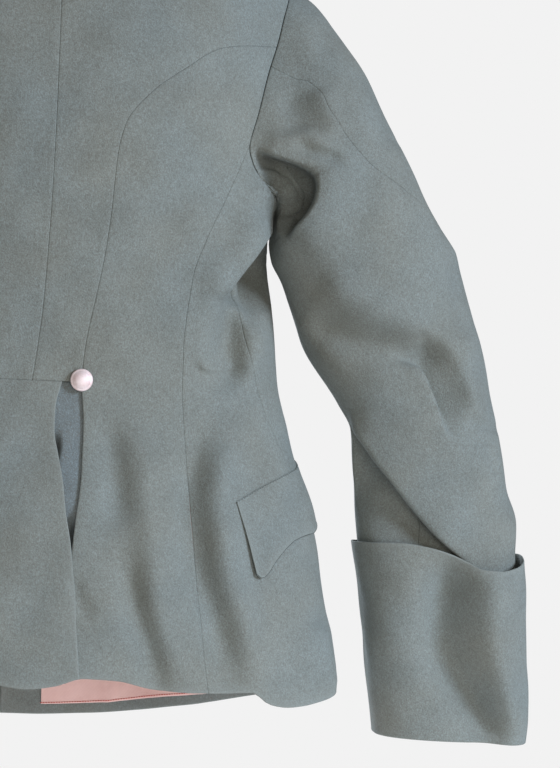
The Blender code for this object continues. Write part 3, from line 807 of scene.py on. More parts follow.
def creased(
    points: Array,
    normals: Array,
    creases: Sequence[Crease | Roll],
    side: Side,
    strength: Array | float = 1.0,
) -> Array:
    """Moves points by the creases and the swells of the cloth.

    Args:
        points: Garment points, one in each row.
        normals: Outward normals there.
        creases: What to press in.
        side: The wearer's side, which sets the swells.
        strength: How much of it each point takes.

    Returns:
        The moved points.
    """
    shift = sum((crease.shift(points, normals) for crease in creases), np.zeros_like(points))
    shift = shift + normals * unevenness(points * side.mirror)[:, None]
    return points + shift * np.broadcast_to(strength, len(points))[:, None]


@dataclass
class SeamPlan:
    """The seams that panels share, as places on the body."""

    form: BodyForm
    centre_seam: Rows = (
        (-5, 396), (-1.5, 367), (1.6, 333), (3.4, 298), (5.6, 228), (6.2, 170), (6.2, 100), (6, 40), (6, 0),
    )
    seam_one: Rows = (
        (36.5, 396), (38.5, 365), (45.3, 326), (52, 284), (56, 241), (58.5, 205), (64, 179), (84, 152),
        (112, 130), (146, 110),
    )
    seam_two: Rows = (
        (152, 650), (143, 577), (134.4, 509), (126.4, 441), (121.7, 390), (121.6, 348), (125.7, 305),
        (137, 270), (155, 230),
    )
    vent_edge: Rows = (
        (32, 641), (32.5, 590), (33.5, 546), (36, 512), (39.5, 470), (39.5, 430), (37, 404), (36.5, 396),
    )
    tail_edge: Rows = (
        (20.3, 396), (15.6, 418), (15.6, 437), (19.6, 458), (24, 479), (27.5, 504), (33, 533), (39, 590),
        (44, 640),
    )
    seam_three: Rows = (
        (101, 655), (99, 620), (95, 560), (88, 500), (81.5, 455), (79, 425), (76.5, 390), (73, 350),
        (71.5, 320), (75.5, 285),
    )
    armhole: Rows = (
        (90, 45), (84, 60), (80.2, 77), (77, 103), (74.2, 126), (71, 156), (68.1, 188), (70, 203),
        (77, 221), (88, 238), (98, 239), (107, 228), (112.5, 208), (115, 185), (114, 156), (110.5, 128),
        (105, 98), (98, 70), (90, 45),
    )
    rows_one: int = 12 * FINE
    rows_vent: int = 8 * FINE
    rows_tail: int = 10 * FINE
    tail_half: int = 4 * FINE
    waist_outer: int = 4 * FINE
    shoulder_steps: int = 4 * FINE
    neck_back_steps: int = 4 * FINE
    neck_front_steps: int = 5 * FINE
    hole_shoulder: int = 3 * FINE
    hole_blade: int = 5 * FINE
    hole_underarm: int = 6 * FINE
    hole_chest: int = 9 * FINE

    def __post_init__(self) -> None:
        """Works out every shared seam once."""
        form = self.form
        self.hole_over = form.run(self.armhole, self.hole_shoulder, 0, 3)
        self.hole_back = form.run(self.armhole, self.hole_blade, 3, 6)
        self.hole_under = form.run(self.armhole, self.hole_underarm, 6, 9)
        self.hole_front = form.run(self.armhole, self.hole_chest, 9, 18)
        self.centre = form.run(form.on_back(self.centre_seam), self.rows_one + self.hole_shoulder)
        self.shoulder = form.run([(90, 45), (90, 22), (90, 0)], self.shoulder_steps)
        rows_two = self.rows_one + self.rows_vent
        self.one = form.run(np.vstack([form.on_back(self.seam_one), self.armhole[3]]), self.rows_one)
        self.two = form.run(np.vstack([form.on_back(self.seam_two), self.armhole[6]]), rows_two)
        self.three = form.run(np.vstack([self.seam_three, self.armhole[9]]), rows_two)
        self.vent = form.run(form.on_back(self.vent_edge), self.rows_vent)
        for seam in (self.two, self.three, self.vent):
            seam[0, 1] = form.hem_drop(seam[0, 0])
        start, end = self.centre[0], self.one[0]
        corner = form.on_back(self.tail_edge[:1])[0]
        self.waist = joined(
            form.run([start, (start + corner) / 2, corner], self.tail_half),
            form.run([corner, (corner + end) / 2, end], self.waist_outer),
        )
        self.neck_back = form.run([(90, 0), (60, 0), (30, 0), self.centre[-1]], self.neck_back_steps)
        self.neck_front = form.run([(90, 0), (120, 0), (150, 0), (180, 0)], self.neck_front_steps)


@dataclass
class Back:
    """Centre back, side back and side panels."""

    form: BodyForm
    seams: SeamPlan
    wall: float = 2.0

    def centre_places(self, side: Side) -> Array:
        """Lays out a centre back panel, whose middle seam leans a little to one side.

        Args:
            side: The wearer's side.

        Returns:
            Grid of (angle, drop).
        """
        seams = self.seams
        centre = seams.centre * [side.value, 1]
        lower = seams.waist.copy()
        spread = np.linspace(1, 0, seams.tail_half + 1)
        lower[: seams.tail_half + 1, 0] -= (seams.waist[0, 0] - centre[0, 0]) * spread
        upper = joined(seams.neck_back[::-1], seams.shoulder[::-1])
        spread = np.linspace(1, 0, seams.neck_back_steps + 1)
        upper[: seams.neck_back_steps + 1, 0] -= (upper[0, 0] - centre[-1, 0]) * spread
        return self.form.patch(lower, joined(seams.one, seams.hole_over[::-1]), upper, centre)

    def side_back_places(self) -> Array:
        """Lays out a side back panel, from its vent edge to the armhole.

        Returns:
            Grid of (angle, drop).
        """
        left = joined(self.seams.vent, self.seams.one)
        lower = self.form.hem_run(left[0, 0], self.seams.two[0, 0], self.seams.hole_blade)
        return self.form.patch(lower, self.seams.two, self.seams.hole_back, left)

    def side_places(self) -> Array:
        """Places of a side panel, under the arm."""
        lower = self.form.hem_run(self.seams.two[0, 0], self.seams.three[0, 0], self.seams.hole_underarm)
        return self.form.patch(lower, self.seams.three, self.seams.hole_under, self.seams.two)

    def build(self, wool: Material) -> None:
        """Makes the six panels.

        Args:
            wool: Their material.
        """
        for side in Side:
            cuts = {
                "back_centre": (self.centre_places(side), edged("left", "right", "upper", "lower")),
                "back_side": (self.side_back_places(), edged("left", "right", "upper")),
                "side": (self.side_places(), edged("left", "right", "upper")),
            }
            for name, (places, edges) in cuts.items():
                points = self.form.sheet(with_edge_lines(places), side)
                cloth = Cloth(f"cloth_{name}_{side.suffix}", points, side, self.wall, edges)
                sew(cloth, wool, "wool")


@dataclass
class Fronts:
    """The two fronts, left over right, and the skirt linings behind them and behind the sides."""

    form: BodyForm
    seams: SeamPlan
    wall: float = 2.0
    overlap: float = 22.0
    overlap_ramp: float = 48.0
    overlap_clear: float = 8.0
    overlap_gap: float = 1.2
    row_level: float = 275.0
    lining_wall: float = 0.9
    lining_gap: float = 1.4
    hem_turn_up: float = 10.0
    thread_sink: float = 0.2
    sewn_row: int = 3
    facing_edge: tuple[float, float] = (16.0, 75.0)
    lining_folds: Table = tabled(
        "angle depth half_width",
        (108, 2.2, 1.4),
        (117, 1.6, 1.1),
        (125, 2.6, 1.6),
        (138, 1.8, 1.3),
        (151, 2.4, 1.5),
    )

    def edge(self) -> Array:
        """Lays out the edge of a front, past the middle by the overlap.

        Returns:
            Places from hem to neck.
        """
        levels = [float(self.form.hem_drop(184.0)), self.row_level, 0.0]
        rows = (self.seams.rows_one + self.seams.rows_vent, self.seams.hole_chest)
        parts = []
        for start, end, intervals in zip(levels, levels[1:], rows):
            drops = np.linspace(start, end, 12)
            overlap = np.degrees(np.arctan2(self.overlap, self.form.column("front_depth", drops)))
            parts.append(self.form.run(stacked(180 + overlap, drops), intervals))
        return joined(*parts)

    def places(self) -> Array:
        """Lays out a front.

        Returns:
            Grid of (angle, drop).
        """
        seams = self.seams
        left, edge = joined(seams.three, seams.hole_front), self.edge()
        columns = seams.shoulder_steps + seams.neck_front_steps
        lower = joined(
            self.form.hem_run(left[0, 0], 180.0, columns), self.form.hem_run(180.0, edge[0, 0], FINE)
        )
        neck = joined(seams.neck_front, np.linspace(seams.neck_front[-1], edge[-1], FINE + 1))
        return self.form.patch(lower, edge, joined(seams.shoulder, neck), left, middle=180.0)

    def lift(self, places: Array) -> Array:
        """Raises the left front over the right one near the middle.

        Args:
            places: Grid of (angle, drop).

        Returns:
            How far out each point lies.
        """
        across = self.form.plain(places[..., 0], places[..., 1])[..., 0]
        start = self.overlap + self.overlap_clear + self.overlap_ramp
        return (self.wall + self.overlap_gap) * ease((start - across) / self.overlap_ramp)

    def build(self, wool: Material) -> None:
        """Makes both fronts.

        Args:
            wool: Their material.
        """
        places = with_edge_lines(self.places())
        for side in Side:
            lift = self.lift(places) if side is Side.LEFT else 0.0
            points = self.form.sheet(places, side, lift)
            cloth = Cloth(f"cloth_front_{side.suffix}", points, side, self.wall, edged("left", "upper"))
            sew(cloth, wool, "wool")

    def lining_places(self, places: Array) -> Array:
        """Lays out a skirt lining, which ends above the turned-up hem.

        Args:
            places: Places of the panel that it covers.

        Returns:
            Grid of (angle, drop).
        """
        places = places[: self.seams.rows_vent + 1].copy()
        height = (places[0, :, 1] - places[-1, :, 1])[:, None]
        share = np.linspace(1, 0, len(places))[:, None, None]
        return places + (places[-1] - places[0]) * share * (self.hem_turn_up / height)

    def lining_lift(self, places: Array) -> Array:
        """Sets a lining inside the wool, with loose folds running down it.

        Args:
            places: Grid of (angle, drop).

        Returns:
            How far out each point lies.
        """
        rows = zip(*(self.lining_folds[name] for name in ("angle", "depth", "half_width")))
        angles = places[..., 0]
        loose = sum(depth * np.exp(-(((angles - angle) / width) ** 2)) for angle, depth, width in rows)
        return -self.wall - self.lining_gap - loose

    def build_linings(self, pink: Material, side_places: Array) -> list[Array]:
        """Makes the four linings.

        Args:
            pink: Their material.
            side_places: Places of a side panel.

        Returns:
            Points along the foot of each lining, on the side that shows, for its sewing.
        """
        feet = []
        front = self.places()
        depth = float(self.form.column("front_depth", self.form.hem_drop(180.0)))
        for side, facing in zip(Side, self.facing_edge):
            limit = 180 - math.degrees(math.atan2(facing, depth))
            lined_front = front[:, : int(np.searchsorted(front[0, :, 0], limit)) + 1]
            for name, places in (("front", lined_front), ("side", side_places)):
                places = with_edge_lines(self.lining_places(places))
                lift = self.lining_lift(places)
                points = self.form.sheet(places, side, lift)
                cloth = Cloth(f"cloth_{name}_lining_{side.suffix}", points, side, self.lining_wall, edged())
                sew(cloth, pink, "lining")
                inside = self.form.sheet(places, side, lift - self.lining_wall - self.thread_sink)
                feet.append(inside[self.sewn_row] * side.mirror * MM)
        return feet


@dataclass
class VentedTail:
    """Centre skirt below the waist, open at the right-hand vent, and the pleat cloth under its edges."""

    form: BodyForm
    seams: SeamPlan
    wall: float = 2.0
    waist_drop: float = 396.0
    lift: float = 3.2
    lift_reach: float = 90.0
    layer_gap: float = 0.6
    underlay_inner_edge: float = 6.0
    underlay_lap: float = 10.0
    underlay_shorter: float = 7.0
    seam_gap: float = 0.3
    sag_ease: float = 8.0
    foot_tuck: float = 4.0
    foot_start: float = 590.0
    foot_ease: float = 45.0
    sags: Table = tabled("drop half_height edge depth", (451, 8, 23, 12), (524, 13, 38, 11))
    left_lap: Table = tabled("drop lap", (396, -1), (455, -1), (475, 0), (530, 5), (641, 5))

    def tail_places(self) -> Array:
        """Lays out the tail, whose right edge hangs open and whose left edge closes the left vent.

        Returns:
            Grid of (angle, drop).
        """
        seams, form = self.seams, self.form
        right = form.run(form.on_back(seams.tail_edge), seams.rows_tail)[::-1]
        lapped = np.array(seams.vent_edge[::-1], float)
        lapped[:, 0] += smooth(lapped[:, 1], self.left_lap["drop"], self.left_lap["lap"])
        left = form.run(form.on_back(lapped), seams.rows_tail)[::-1] * [-1, 1]
        for edge in (right, left):
            edge[0, 1] = form.hem_drop(edge[0, 0])
        right_waist = seams.waist[: seams.tail_half + 1]
        left_waist = seams.waist * [-1, 1]
        spread = (right_waist[0, 0] - left_waist[0, 0]) * np.linspace(1, 0, seams.tail_half + 1)
        left_waist[: seams.tail_half + 1, 0] += spread
        left_waist[-1] = left[-1]
        upper = joined(left_waist[::-1], right_waist)
        return form.patch(form.hem_run(left[0, 0], right[0, 0], len(upper) - 1), right, upper, left)

    def underlay_places(self) -> Array:
        """Lays out the pleat cloth in the right-hand vent.

        Returns:
            Grid of (angle, drop).
        """
        seams, form = self.seams, self.form
        rows = np.array(seams.vent_edge[::-1], float)
        edges = (rows + [self.underlay_lap, 0], rows * [0, 1] + [self.underlay_inner_edge, 0])
        lines = [form.on_back(edge) for edge in edges]
        for line in lines:
            line[0, 1] += self.seam_gap
            line[-1, 1] = form.hem_drop(line[-1, 0]) - self.underlay_shorter
        outer, inner = (form.run(line, seams.rows_tail)[::-1] for line in lines)
        lower, upper = (np.linspace(inner[i], outer[i], seams.tail_half + 1) for i in (0, -1))
        return form.patch(lower, outer, upper, inner)

    def pleat_lift(self, places: Array) -> Array:
        """Sets the pleat cloth under the tail, from which it sags away in two places.

        Args:
            places: Grid of (angle, drop).

        Returns:
            How far out each point lies.
        """
        across = self.form.plain(places[..., 0], places[..., 1])[..., 0]
        rows = zip(*(self.sags[name] for name in ("drop", "half_height", "edge", "depth")))
        sag = sum(
            depth * np.exp(-(((places[..., 1] - drop) / high) ** 2)) * ease((edge - across) / self.sag_ease)
            for drop, high, edge, depth in rows
        )
        tuck = self.foot_tuck * ease((places[..., 1] - self.foot_start) / self.foot_ease)
        return -self.wall - self.layer_gap - sag - tuck

    def build(self, wool: Material, unfaded: Material) -> None:
        """Makes the tail and both pleats.

        Args:
            wool: Material of the tail.
            unfaded: Material of the pleat cloth, which the light reaches less.
        """
        places = with_edge_lines(self.tail_places())
        lift = self.lift * ease((places[..., 1] - self.waist_drop) / self.lift_reach)
        points = self.form.sheet(places, Side.RIGHT, lift)
        tail = Cloth("cloth_tail", points, Side.RIGHT, self.wall, edged("upper"))
        sew(tail, wool, "wool")
        places = with_edge_lines(self.underlay_places())
        edges = edged("upper", "right")
        for side in Side:
            points = self.form.sheet(places, side, self.pleat_lift(places))
            pleat = Cloth(f"cloth_vent_underlay_{side.suffix}", points, side, self.wall, edges)
            sew(pleat, unfaded, "wool")


@dataclass
class Collar:
    """Stand collar with rounded ends that just meet at the front."""

    form: BodyForm
    seams: SeamPlan
    height: float = 42.0
    lean: float = 5.0
    inset: float = 2.3
    wall: float = 3.0
    front_gap: float = 3.0
    corner: float = 12.0
    tuck: float = 2.0
    hollow: float = 1.2
    swell: float = 0.25

    def points(self) -> Array:
        """Shapes the collar.

        Returns:
            Outer points, from the neck seam up and round from end to end.
        """
        half = joined(self.seams.neck_back[::-1], self.seams.neck_front)
        half[0, 0] = 0.0
        end = math.degrees(math.atan2(self.front_gap / 2, float(self.form.column("front_depth", 0.0))))
        half[:, 0] = np.minimum(half[:, 0], 180 - end)
        foot = self.form.plain(half[:, 0], half[:, 1])
        foot = np.concatenate([foot[:0:-1] * [-1, 1, 1], foot])
        radial = unit(foot * [1, 1, 0])
        steps = lengths_along(foot)
        from_end = np.minimum(steps, steps[-1] - steps)
        inside = np.clip(1 - from_end / self.corner, 0, 1)
        height = self.height - self.corner * (1 - np.sqrt(1 - inside**2))
        share = np.linspace(0, 1, 15)[:, None]
        lean = self.inset + self.lean * share + self.hollow * np.sin(math.pi * share)
        points = foot[None] - radial[None] * lean[..., None]
        points[..., 2] += (height[None] + self.tuck) * share - self.tuck
        return points

    def build(self, wool: Material) -> None:
        """Makes the collar.

        Args:
            wool: Its material.
        """
        points = with_edge_lines(self.points())
        points = points + grid_normals(points) * unevenness(points, self.swell)[..., None]
        cloth = Cloth("cloth_collar", points, Side.RIGHT, self.wall, edged("lower"))
        sew(cloth, wool, "wool")


# Sleeves
def section(rows: Table, ring: Array, angle: Array, squareness: float = 2.15) -> Array:
    """Garment points of an oval sleeve section.

    Args:
        rows: Table of sections.
        ring: Which section, counted from the first.
        angle: Degrees round from the outer edge by way of the back.
        squareness: Power of the oval.

    Returns:
        The points.
    """
    knots = np.arange(len(rows["back"]), dtype=float)
    value = {name: smooth(ring, knots, rows[name]) for name in rows}
    zero = np.zeros_like(value["back"])
    outer = stacked(value["outer_across"], zero, -value["outer_drop"])
    inner = stacked(value["inner_across"], zero, -value["inner_drop"])
    turn = np.radians(angle)
    radius = (np.abs(np.cos(turn)) ** squareness + np.abs(np.sin(turn)) ** squareness) ** (-1 / squareness)
    points = (outer + inner) / 2 + (outer - inner) / 2 * (radius * np.cos(turn))[..., None]
    points[..., 1] += value["back"] + value["half_depth"] * radius * np.sin(turn)
    return points


@dataclass
class Sleeves:
    """Two-piece sleeves: a top sleeve over the outside and front of the arm, an under sleeve behind it."""

    form: BodyForm
    seams: SeamPlan
    wall: float = 2.0
    hole_gap: float = 0.3
    hole_ease: float = 1.1
    slack: float = 0.3
    front_swell: float = 4.0
    front_ease: float = 20.0
    under_columns: int = 66
    top_columns: int = 92
    rings: Table = tabled(
        "outer_across outer_drop inner_across inner_drop back half_depth",
        (204, 41, 196, 240, -2, 70),
        (236, 58, 196.5, 247, 0, 68),
        (260, 87, 196.5, 257, 5, 66),
        (281, 123, 196, 268.5, 11, 63),
        (300, 166, 198.5, 284, 15, 60),
        (321, 206, 207.5, 302, 16, 58),
        (340, 242, 217, 326, 14, 56),
        (361, 272, 226, 351, 11, 54),
        (376, 316, 242, 378, 7, 52),
        (388, 355, 262, 404, 2, 50),
        (399, 395, 276, 427, -5, 48),
        (409, 435, 279, 450, -11, 47),
        (417, 472, 282, 482, -17, 46),
        (428, 505, 286, 512, -22, 45),
        (431, 545, 291, 548, -27, 43),
        (433, 610, 301, 612, -35, 41),
        (438, 681, 314, 680, -43, 39.5),
    )
    hole_share: Sequence[float] = (1.0, 0.78, 0.48, 0.2, 0.05, 0.0)
    seam_angles: Table = tabled(
        "ring hind inner",
        (0, 75, 186), (1, 69, 184), (1.5, 59, 183), (2, 61, 182), (2.5, 68, 181), (3, 68, 180),
        (4, 61, 178), (5, 44, 177), (5.5, 29, 176.5), (6, 14, 176), (7, -3, 175), (9, -12, 172),
        (10, -12, 160), (11, -12, 138), (12, -12, 120), (13, -12, 111), (16, -12, 108),
    )
    folds: Table = tabled(
        "start_ring start_angle end_ring end_angle half_width height",
        (1.0, 118, 3.2, 128, 22, -13),
        (11.2, 160, 13.4, 92, 17, -8),
        (6.8, 20, 8.6, 40, 22, -6),
        (7.0, 250, 9.0, 285, 24, -7),
        (3.0, 250, 5.0, 285, 28, -5),
    )
    creases: Sequence[Crease | Roll] = (
        Roll(
            6, 28, 6, 40,
            [(158, 193), (168, 194), (178, 196), (190, 198), (205, 202), (218, 207), (226, 213), (228, 222),
             (226, 233), (221, 243), (212, 254), (203, 263)],
            ends=0.14,
        ),
        Crease(3.5, 6, [(173, 186), (191, 181), (213, 178), (232, 182), (247, 188)]),
        Crease(-5, 4.5, [(205, 181), (219, 186), (230, 190), (247, 197), (255, 203)]),
        Crease(-4, 14, [(202, 138), (209, 158), (216, 177)], ends=0.25),
        Crease(3.5, 11, [(230, 132), (235, 147), (240, 162), (247, 178)], ends=0.25),
        Crease(-1.8, 5, [(288, 173), (305, 180)]),
        Crease(-2.2, 9, [(232, 70), (235, 95), (236, 112)]),
        Crease(6, 15, [(232, 300), (260, 310), (290, 322), (318, 333), (342, 330)], ends=0.25),
        Crease(
            -11, 16,
            [(226, 334), (256, 345), (280, 353), (299, 357), (318, 360), (336, 358), (350, 346)],
            ends=0.2,
        ),
        Roll(
            1.5, 16, 7, 36,
            [(366, 436), (363, 429), (357, 420), (349, 406), (340, 389), (334, 376), (328, 368), (314, 363),
             (300, 361)],
            ends=0.46,
        ),
        Crease(5, 10, [(363, 332), (369, 346), (373, 372), (378, 394), (375, 415)]),
        Crease(-3.5, 4, [(376, 415), (392, 419), (408, 422)], ends=0.12),
        Crease(-3, 6, [(392, 433), (398, 447), (403, 463)], ends=0.2),
        Roll(
            2, 10, 10, 50,
            [(261, 415), (268, 424), (278, 436), (291, 453), (307, 472), (323, 491), (337, 506), (351, 520),
             (367, 533), (384, 546), (408, 567)],
            ends=0.15,
        ),
        Crease(
            -24, 24,
            [(364, 541), (360, 570), (359, 587), (361, 607), (371, 629), (386, 650), (399, 669),
             (413, 700)],
            ends=0.12,
        ),
        Crease(-4, 11, [(216, 190), (240, 205), (268, 212)], Face.FRONT),
        Crease(-4, 10, [(262, 392), (300, 400), (345, 392)], Face.FRONT),
        Crease(3.5, 12, [(272, 420), (310, 428), (360, 418)], Face.FRONT),
        Crease(-3, 9, [(284, 448), (320, 455), (366, 446)], Face.FRONT),
    )

    def seam_angle(self, name: str, ring: Array) -> Array:
        """Angle of a sleeve seam at these rings."""
        return smooth(ring, self.seam_angles["ring"], self.seam_angles[name])

    def middle(self, ring: Array) -> Array:
        """The point halfway between the outer and inner edges of a section."""
        return (section(self.rings, ring, 0 * ring) + section(self.rings, ring, 0 * ring + 180)) / 2

    def points(self, places: Array, hole: Array, ways: tuple[str, str, float], side: Side) -> Array:
        """Garment points of a sleeve piece.

        Args:
            places: Grid of (ring, share).
            hole: Points of the armhole that it is sewn to.
            ways: The seams that it starts and ends at, and the turn added to the second.
            side: The wearer's side.

        Returns:
            The grid of points.
        """
        lengths = lengths_along(hole)
        shares = lengths / lengths[-1]

        def plain(ring: Array, share: Array) -> Array:
            """Leads the armhole's shape over to the sections.

            Args:
                ring: Rings, counted from the armhole.
                share: Shares of the way between the seams.

            Returns:
                Points without folds.
            """
            first, last = self.seam_angle(ways[0], ring), self.seam_angle(ways[1], ring) + ways[2]
            angle = first + (last - first) * share
            oval = section(self.rings, ring, angle)
            sewn = stacked(*[smooth(share, shares, hole[:, i]) for i in range(3)])
            drift = self.middle(ring) - self.middle(0 * ring)
            under = section(self.rings, ring, 0 * ring + 180) - section(self.rings, 0 * ring, 0 * ring + 180)
            drift = drift + (under - drift) * ease(-2 * np.cos(np.radians(angle)) - 1)[:, None]
            knots = np.arange(len(self.hole_share), dtype=float)
            kept = smooth(ring, knots, np.array(self.hole_share))[:, None]
            return kept * (sewn + drift) + (1 - kept) * oval

        ring, share = places[..., 0].reshape(-1), places[..., 1].reshape(-1)
        down = plain(ring + 0.02, share) - plain(ring - 0.02, share)
        normals = unit(np.cross(down, plain(ring, share + 0.004) - plain(ring, share - 0.004)))
        starts = section(self.rings, self.folds["start_ring"], self.folds["start_angle"])
        ends = section(self.rings, self.folds["end_ring"], self.folds["end_angle"])
        bare = plain(ring, share)
        points = bare + normals * (pressed(bare, starts, ends, self.folds) * ease(ring))[:, None]
        points = creased(points, normals, self.creases, side, ease(ring / self.hole_ease))
        middle = self.middle(ring)[:, 1]
        height = bare[:, 1] - middle
        deepest = middle + np.minimum(self.slack * height, height)
        deepest -= self.front_swell * ease(-height / self.front_ease)
        points[:, 1] = np.maximum(points[:, 1], deepest)
        return points.reshape(*places.shape[:-1], 3)

    def build(self, wool: Material) -> None:
        """Makes both sleeves.

        Args:
            wool: Their material.
        """
        seams = self.seams
        cut = seams.hole_blade // 5
        pieces = {
            "under_sleeve": (
                joined(seams.hole_back[cut:], seams.hole_under),
                ("hind", "inner", 0.0),
                self.under_columns,
            ),
            "top_sleeve": (
                joined(seams.hole_front, seams.hole_over, seams.hole_back[: cut + 1]),
                ("inner", "hind", 360.0),
                self.top_columns,
            ),
        }
        last = len(self.rings["back"]) - 1
        ring = np.linspace(0, last, last * RING_STEPS + 1)[:, None]
        for name, (hole, ways, columns) in pieces.items():
            share = np.linspace(0, 1, columns + 1)[None]
            places = with_edge_lines(stacked(ring, share))
            for side in Side:
                points = self.points(places, self.form.points(hole, side), ways, side)
                points = parted(points, self.hole_gap, ["lower"])
                edges = edged("lower", "left", "right")
                cloth = Cloth(f"cloth_{name}_{side.suffix}", points, side, self.wall, edges)
                sew(cloth, wool, "wool")


@dataclass
class Cuffs:
    """Turned-back cuffs: open at the top and folded under at the bottom to meet the sleeve."""

    wall: float = 1.6
    columns: int = 150
    rows: int = 52
    rim: Table = tabled(
        "angle dip",
        (0, 1), (20, 5), (40, 11), (54, 14), (65, 14), (76, 9), (88, 3), (100, -1), (115, -3), (140, -1),
        (180, 0), (340, 0), (360, 1),
    )
    squareness: float = 2.8
    fold_radius: float = 2.2
    fold_return: float = 7.0
    rings: Table = tabled(
        "outer_across outer_drop inner_across inner_drop back half_depth",
        (437, 532, 282.5, 525, -24, 50.5),
        (440, 565, 288.5, 558, -28, 49.5),
        (443, 610, 297, 606, -34, 48),
        (446, 655, 304, 652, -40, 46.5),
        (447, 698, 309.5, 694, -44.5, 45.5),
    )
    creases: Sequence[Crease | Roll] = (
        Crease(
            -20, 19,
            [(366, 528), (363, 559), (360, 587), (362, 607), (372, 629), (387, 650), (400, 669), (412, 688),
             (424, 712)],
            ends=0.2,
        ),
        Crease(
            13, 18,
            [(400, 533), (405, 557), (406, 583), (409, 612), (417, 644), (425, 675), (434, 712)],
            ends=0.2,
        ),
        Crease(-3, 12, [(350, 570), (370, 620), (380, 690)], Face.FRONT),
    )

    def points(self, side: Side) -> Array:
        """Shapes a cuff.

        Args:
            side: The wearer's side.

        Returns:
            Outer points, from the rim down, round the fold and up inside.
        """
        ring = with_edge_lines(np.linspace(0, 4, self.rows + 1)[:, None, None], round_too=True)[..., 0]
        angle = np.linspace(0, 360, self.columns, endpoint=False)[None]
        ring, angle = np.broadcast_arrays(ring, angle)
        bare = section(self.rings, ring, angle, self.squareness)
        bare[..., 2] -= smooth(angle, self.rim["angle"], self.rim["dip"]) * np.clip(1 - ring, 0, 1)
        normals = grid_normals(bare, closed=True)
        outer = creased(bare.reshape(-1, 3), normals.reshape(-1, 3), self.creases, side).reshape(bare.shape)
        inward = unit((outer.mean(axis=1, keepdims=True) - outer) * [1, 1, 0])[-1]
        turn = np.linspace(0, math.pi, 9)[1:, None, None]
        fold = outer[-1] + inward * self.fold_radius * (1 - np.cos(turn))
        fold = fold - np.array([0, 0, 1]) * self.fold_radius * np.sin(turn)
        rise = np.linspace(0, self.fold_return, 5)[1:, None, None] * np.array([0, 0, 1])
        return np.concatenate([outer, fold, fold[-1] + rise])

    def build(self, wool: Material) -> None:
        """Makes both cuffs.

        Args:
            wool: Their material.
        """
        edges = {"lower": Edge.FREE, "upper": Edge.FREE}
        for side in Side:
            cloth = Cloth(f"cloth_cuff_{side.suffix}", self.points(side), side, self.wall, edges, closed=True)
            sew(cloth, wool, "wool")


@dataclass
class PocketFlaps:
    """Slanting three-pointed flaps over the hip pockets."""

    form: BodyForm
    wall: float = 1.2
    width: float = 163.6
    slant: float = math.radians(18.0)
    lean: float = math.radians(2.0)
    proud: float = 2.8
    gap: float = 0.15
    depths: Table = tabled(
        "share depth",
        (0, 64.8), (0.024, 69.5), (0.047, 70.4), (0.075, 69.2), (0.15, 62.4), (0.237, 56.8), (0.29, 55.2),
        (0.38, 55.6), (0.5, 57.4),
    )
    rises: Table = tabled(
        "share rise", (0, 0), (0.18, 12.8), (0.37, 23.4), (0.46, 27), (0.55, 30), (0.73, 37.5), (1, 53)
    )
    corner: tuple[float, float] = (171.0, 491.8)
    columns: int = 96
    rows: int = 30
    search_arc: float = 90.0
    search_steps: int = 260
    # Rows of a flap's grid: one near the top for its stitches, one near the lower edge for the painted shadow
    # line.
    sewn_rows: tuple[int, int] = (-4, 2)

    def depth(self, share: Array) -> Array:
        """Depth along the width: a rounded lobe at either end and a blunt point in the middle."""
        return smooth(np.minimum(share, 1 - share), self.depths["share"], self.depths["depth"])

    def places(self) -> tuple[Array, Array]:
        """Lays out a flap.

        Returns:
            Grid of (angle, drop), and how far down the flap each point lies.
        """
        start = self.form.on_back([self.corner])[0]
        down = np.linspace(1, 0, self.rows + 1)[:, None]
        share = np.linspace(0, 1, self.columns + 1)[None]
        grid = with_edge_lines(stacked(down, share))
        down, share = grid[..., 0], grid[..., 1]
        fall = self.depth(share) * down
        drop = start[1] - smooth(share, self.rises["share"], self.rises["rise"]) + fall * math.cos(self.slant)
        reach = share * self.width + fall * math.sin(self.lean)
        angles = np.linspace(start[0], start[0] + self.search_arc, self.search_steps)
        places = np.zeros((*share.shape, 2))
        for r in range(share.shape[0]):
            for c in range(share.shape[1]):
                lengths = lengths_along(self.form.plain(angles, drop[r, c]))
                places[r, c] = np.interp(reach[r, c], lengths, angles), drop[r, c]
        return places, down

    def build(self, wool: Material) -> list[Array]:
        """Makes both flaps.

        Args:
            wool: Their material.

        Returns:
            Points along the top of each flap, for its stitches, and along its lower edge, for the dark thread
            line that paints the shadow under that edge.
        """
        places, down = self.places()
        lift = self.wall + self.gap + self.proud * ease(down)
        lines = []
        for side in Side:
            points = self.form.sheet(places, side, lift)
            cloth = Cloth(f"cloth_pocket_flap_{side.suffix}", points, side, self.wall, edged("upper"))
            sew(cloth, wool, "wool")
            lines += [points[row] * side.mirror * MM for row in self.sewn_rows]
        return lines


# Finishes
def linear(code: str) -> tuple[float, float, float, float]:
    """A hex colour as linear red, green, blue and alpha."""
    parts = [int(code[i : i + 2], 16) / 255 for i in (1, 3, 5)]
    return (*(c / 12.92 if c <= 0.04045 else ((c + 0.055) / 1.055) ** 2.4 for c in parts), 1.0)


def feed(node: Node, links: Links | None = None, values: Values | None = None) -> Node:
    """Sets a node's inputs.

    Args:
        node: The node.
        links: Sockets that feed its inputs.
        values: Fixed values of its inputs.

    Returns:
        The node.
    """
    for name, value in (values or {}).items():
        node.inputs[name].default_value = value
    for name, source in (links or {}).items():
        node.id_data.links.new(source, node.inputs[name])
    return node


def add(
    tree: Tree, kind: str, links: Links | None = None, values: Values | None = None, **settings: Any
) -> Node:
    """Adds a node.

    Args:
        tree: Where it goes.
        kind: Blender's name of its type.
        links: Sockets that feed its inputs.
        values: Fixed values of its inputs.
        settings: Its properties.

    Returns:
        The node.
    """
    node = tree.nodes.new(kind)
    for name, value in settings.items():
        setattr(node, name, value)
    return feed(node, links, values)


def per_metre(size: float) -> float:
    """Texture scale that gives a pattern of this size, in millimetres, on coordinates in metres."""
    return 1 / (size * MM)


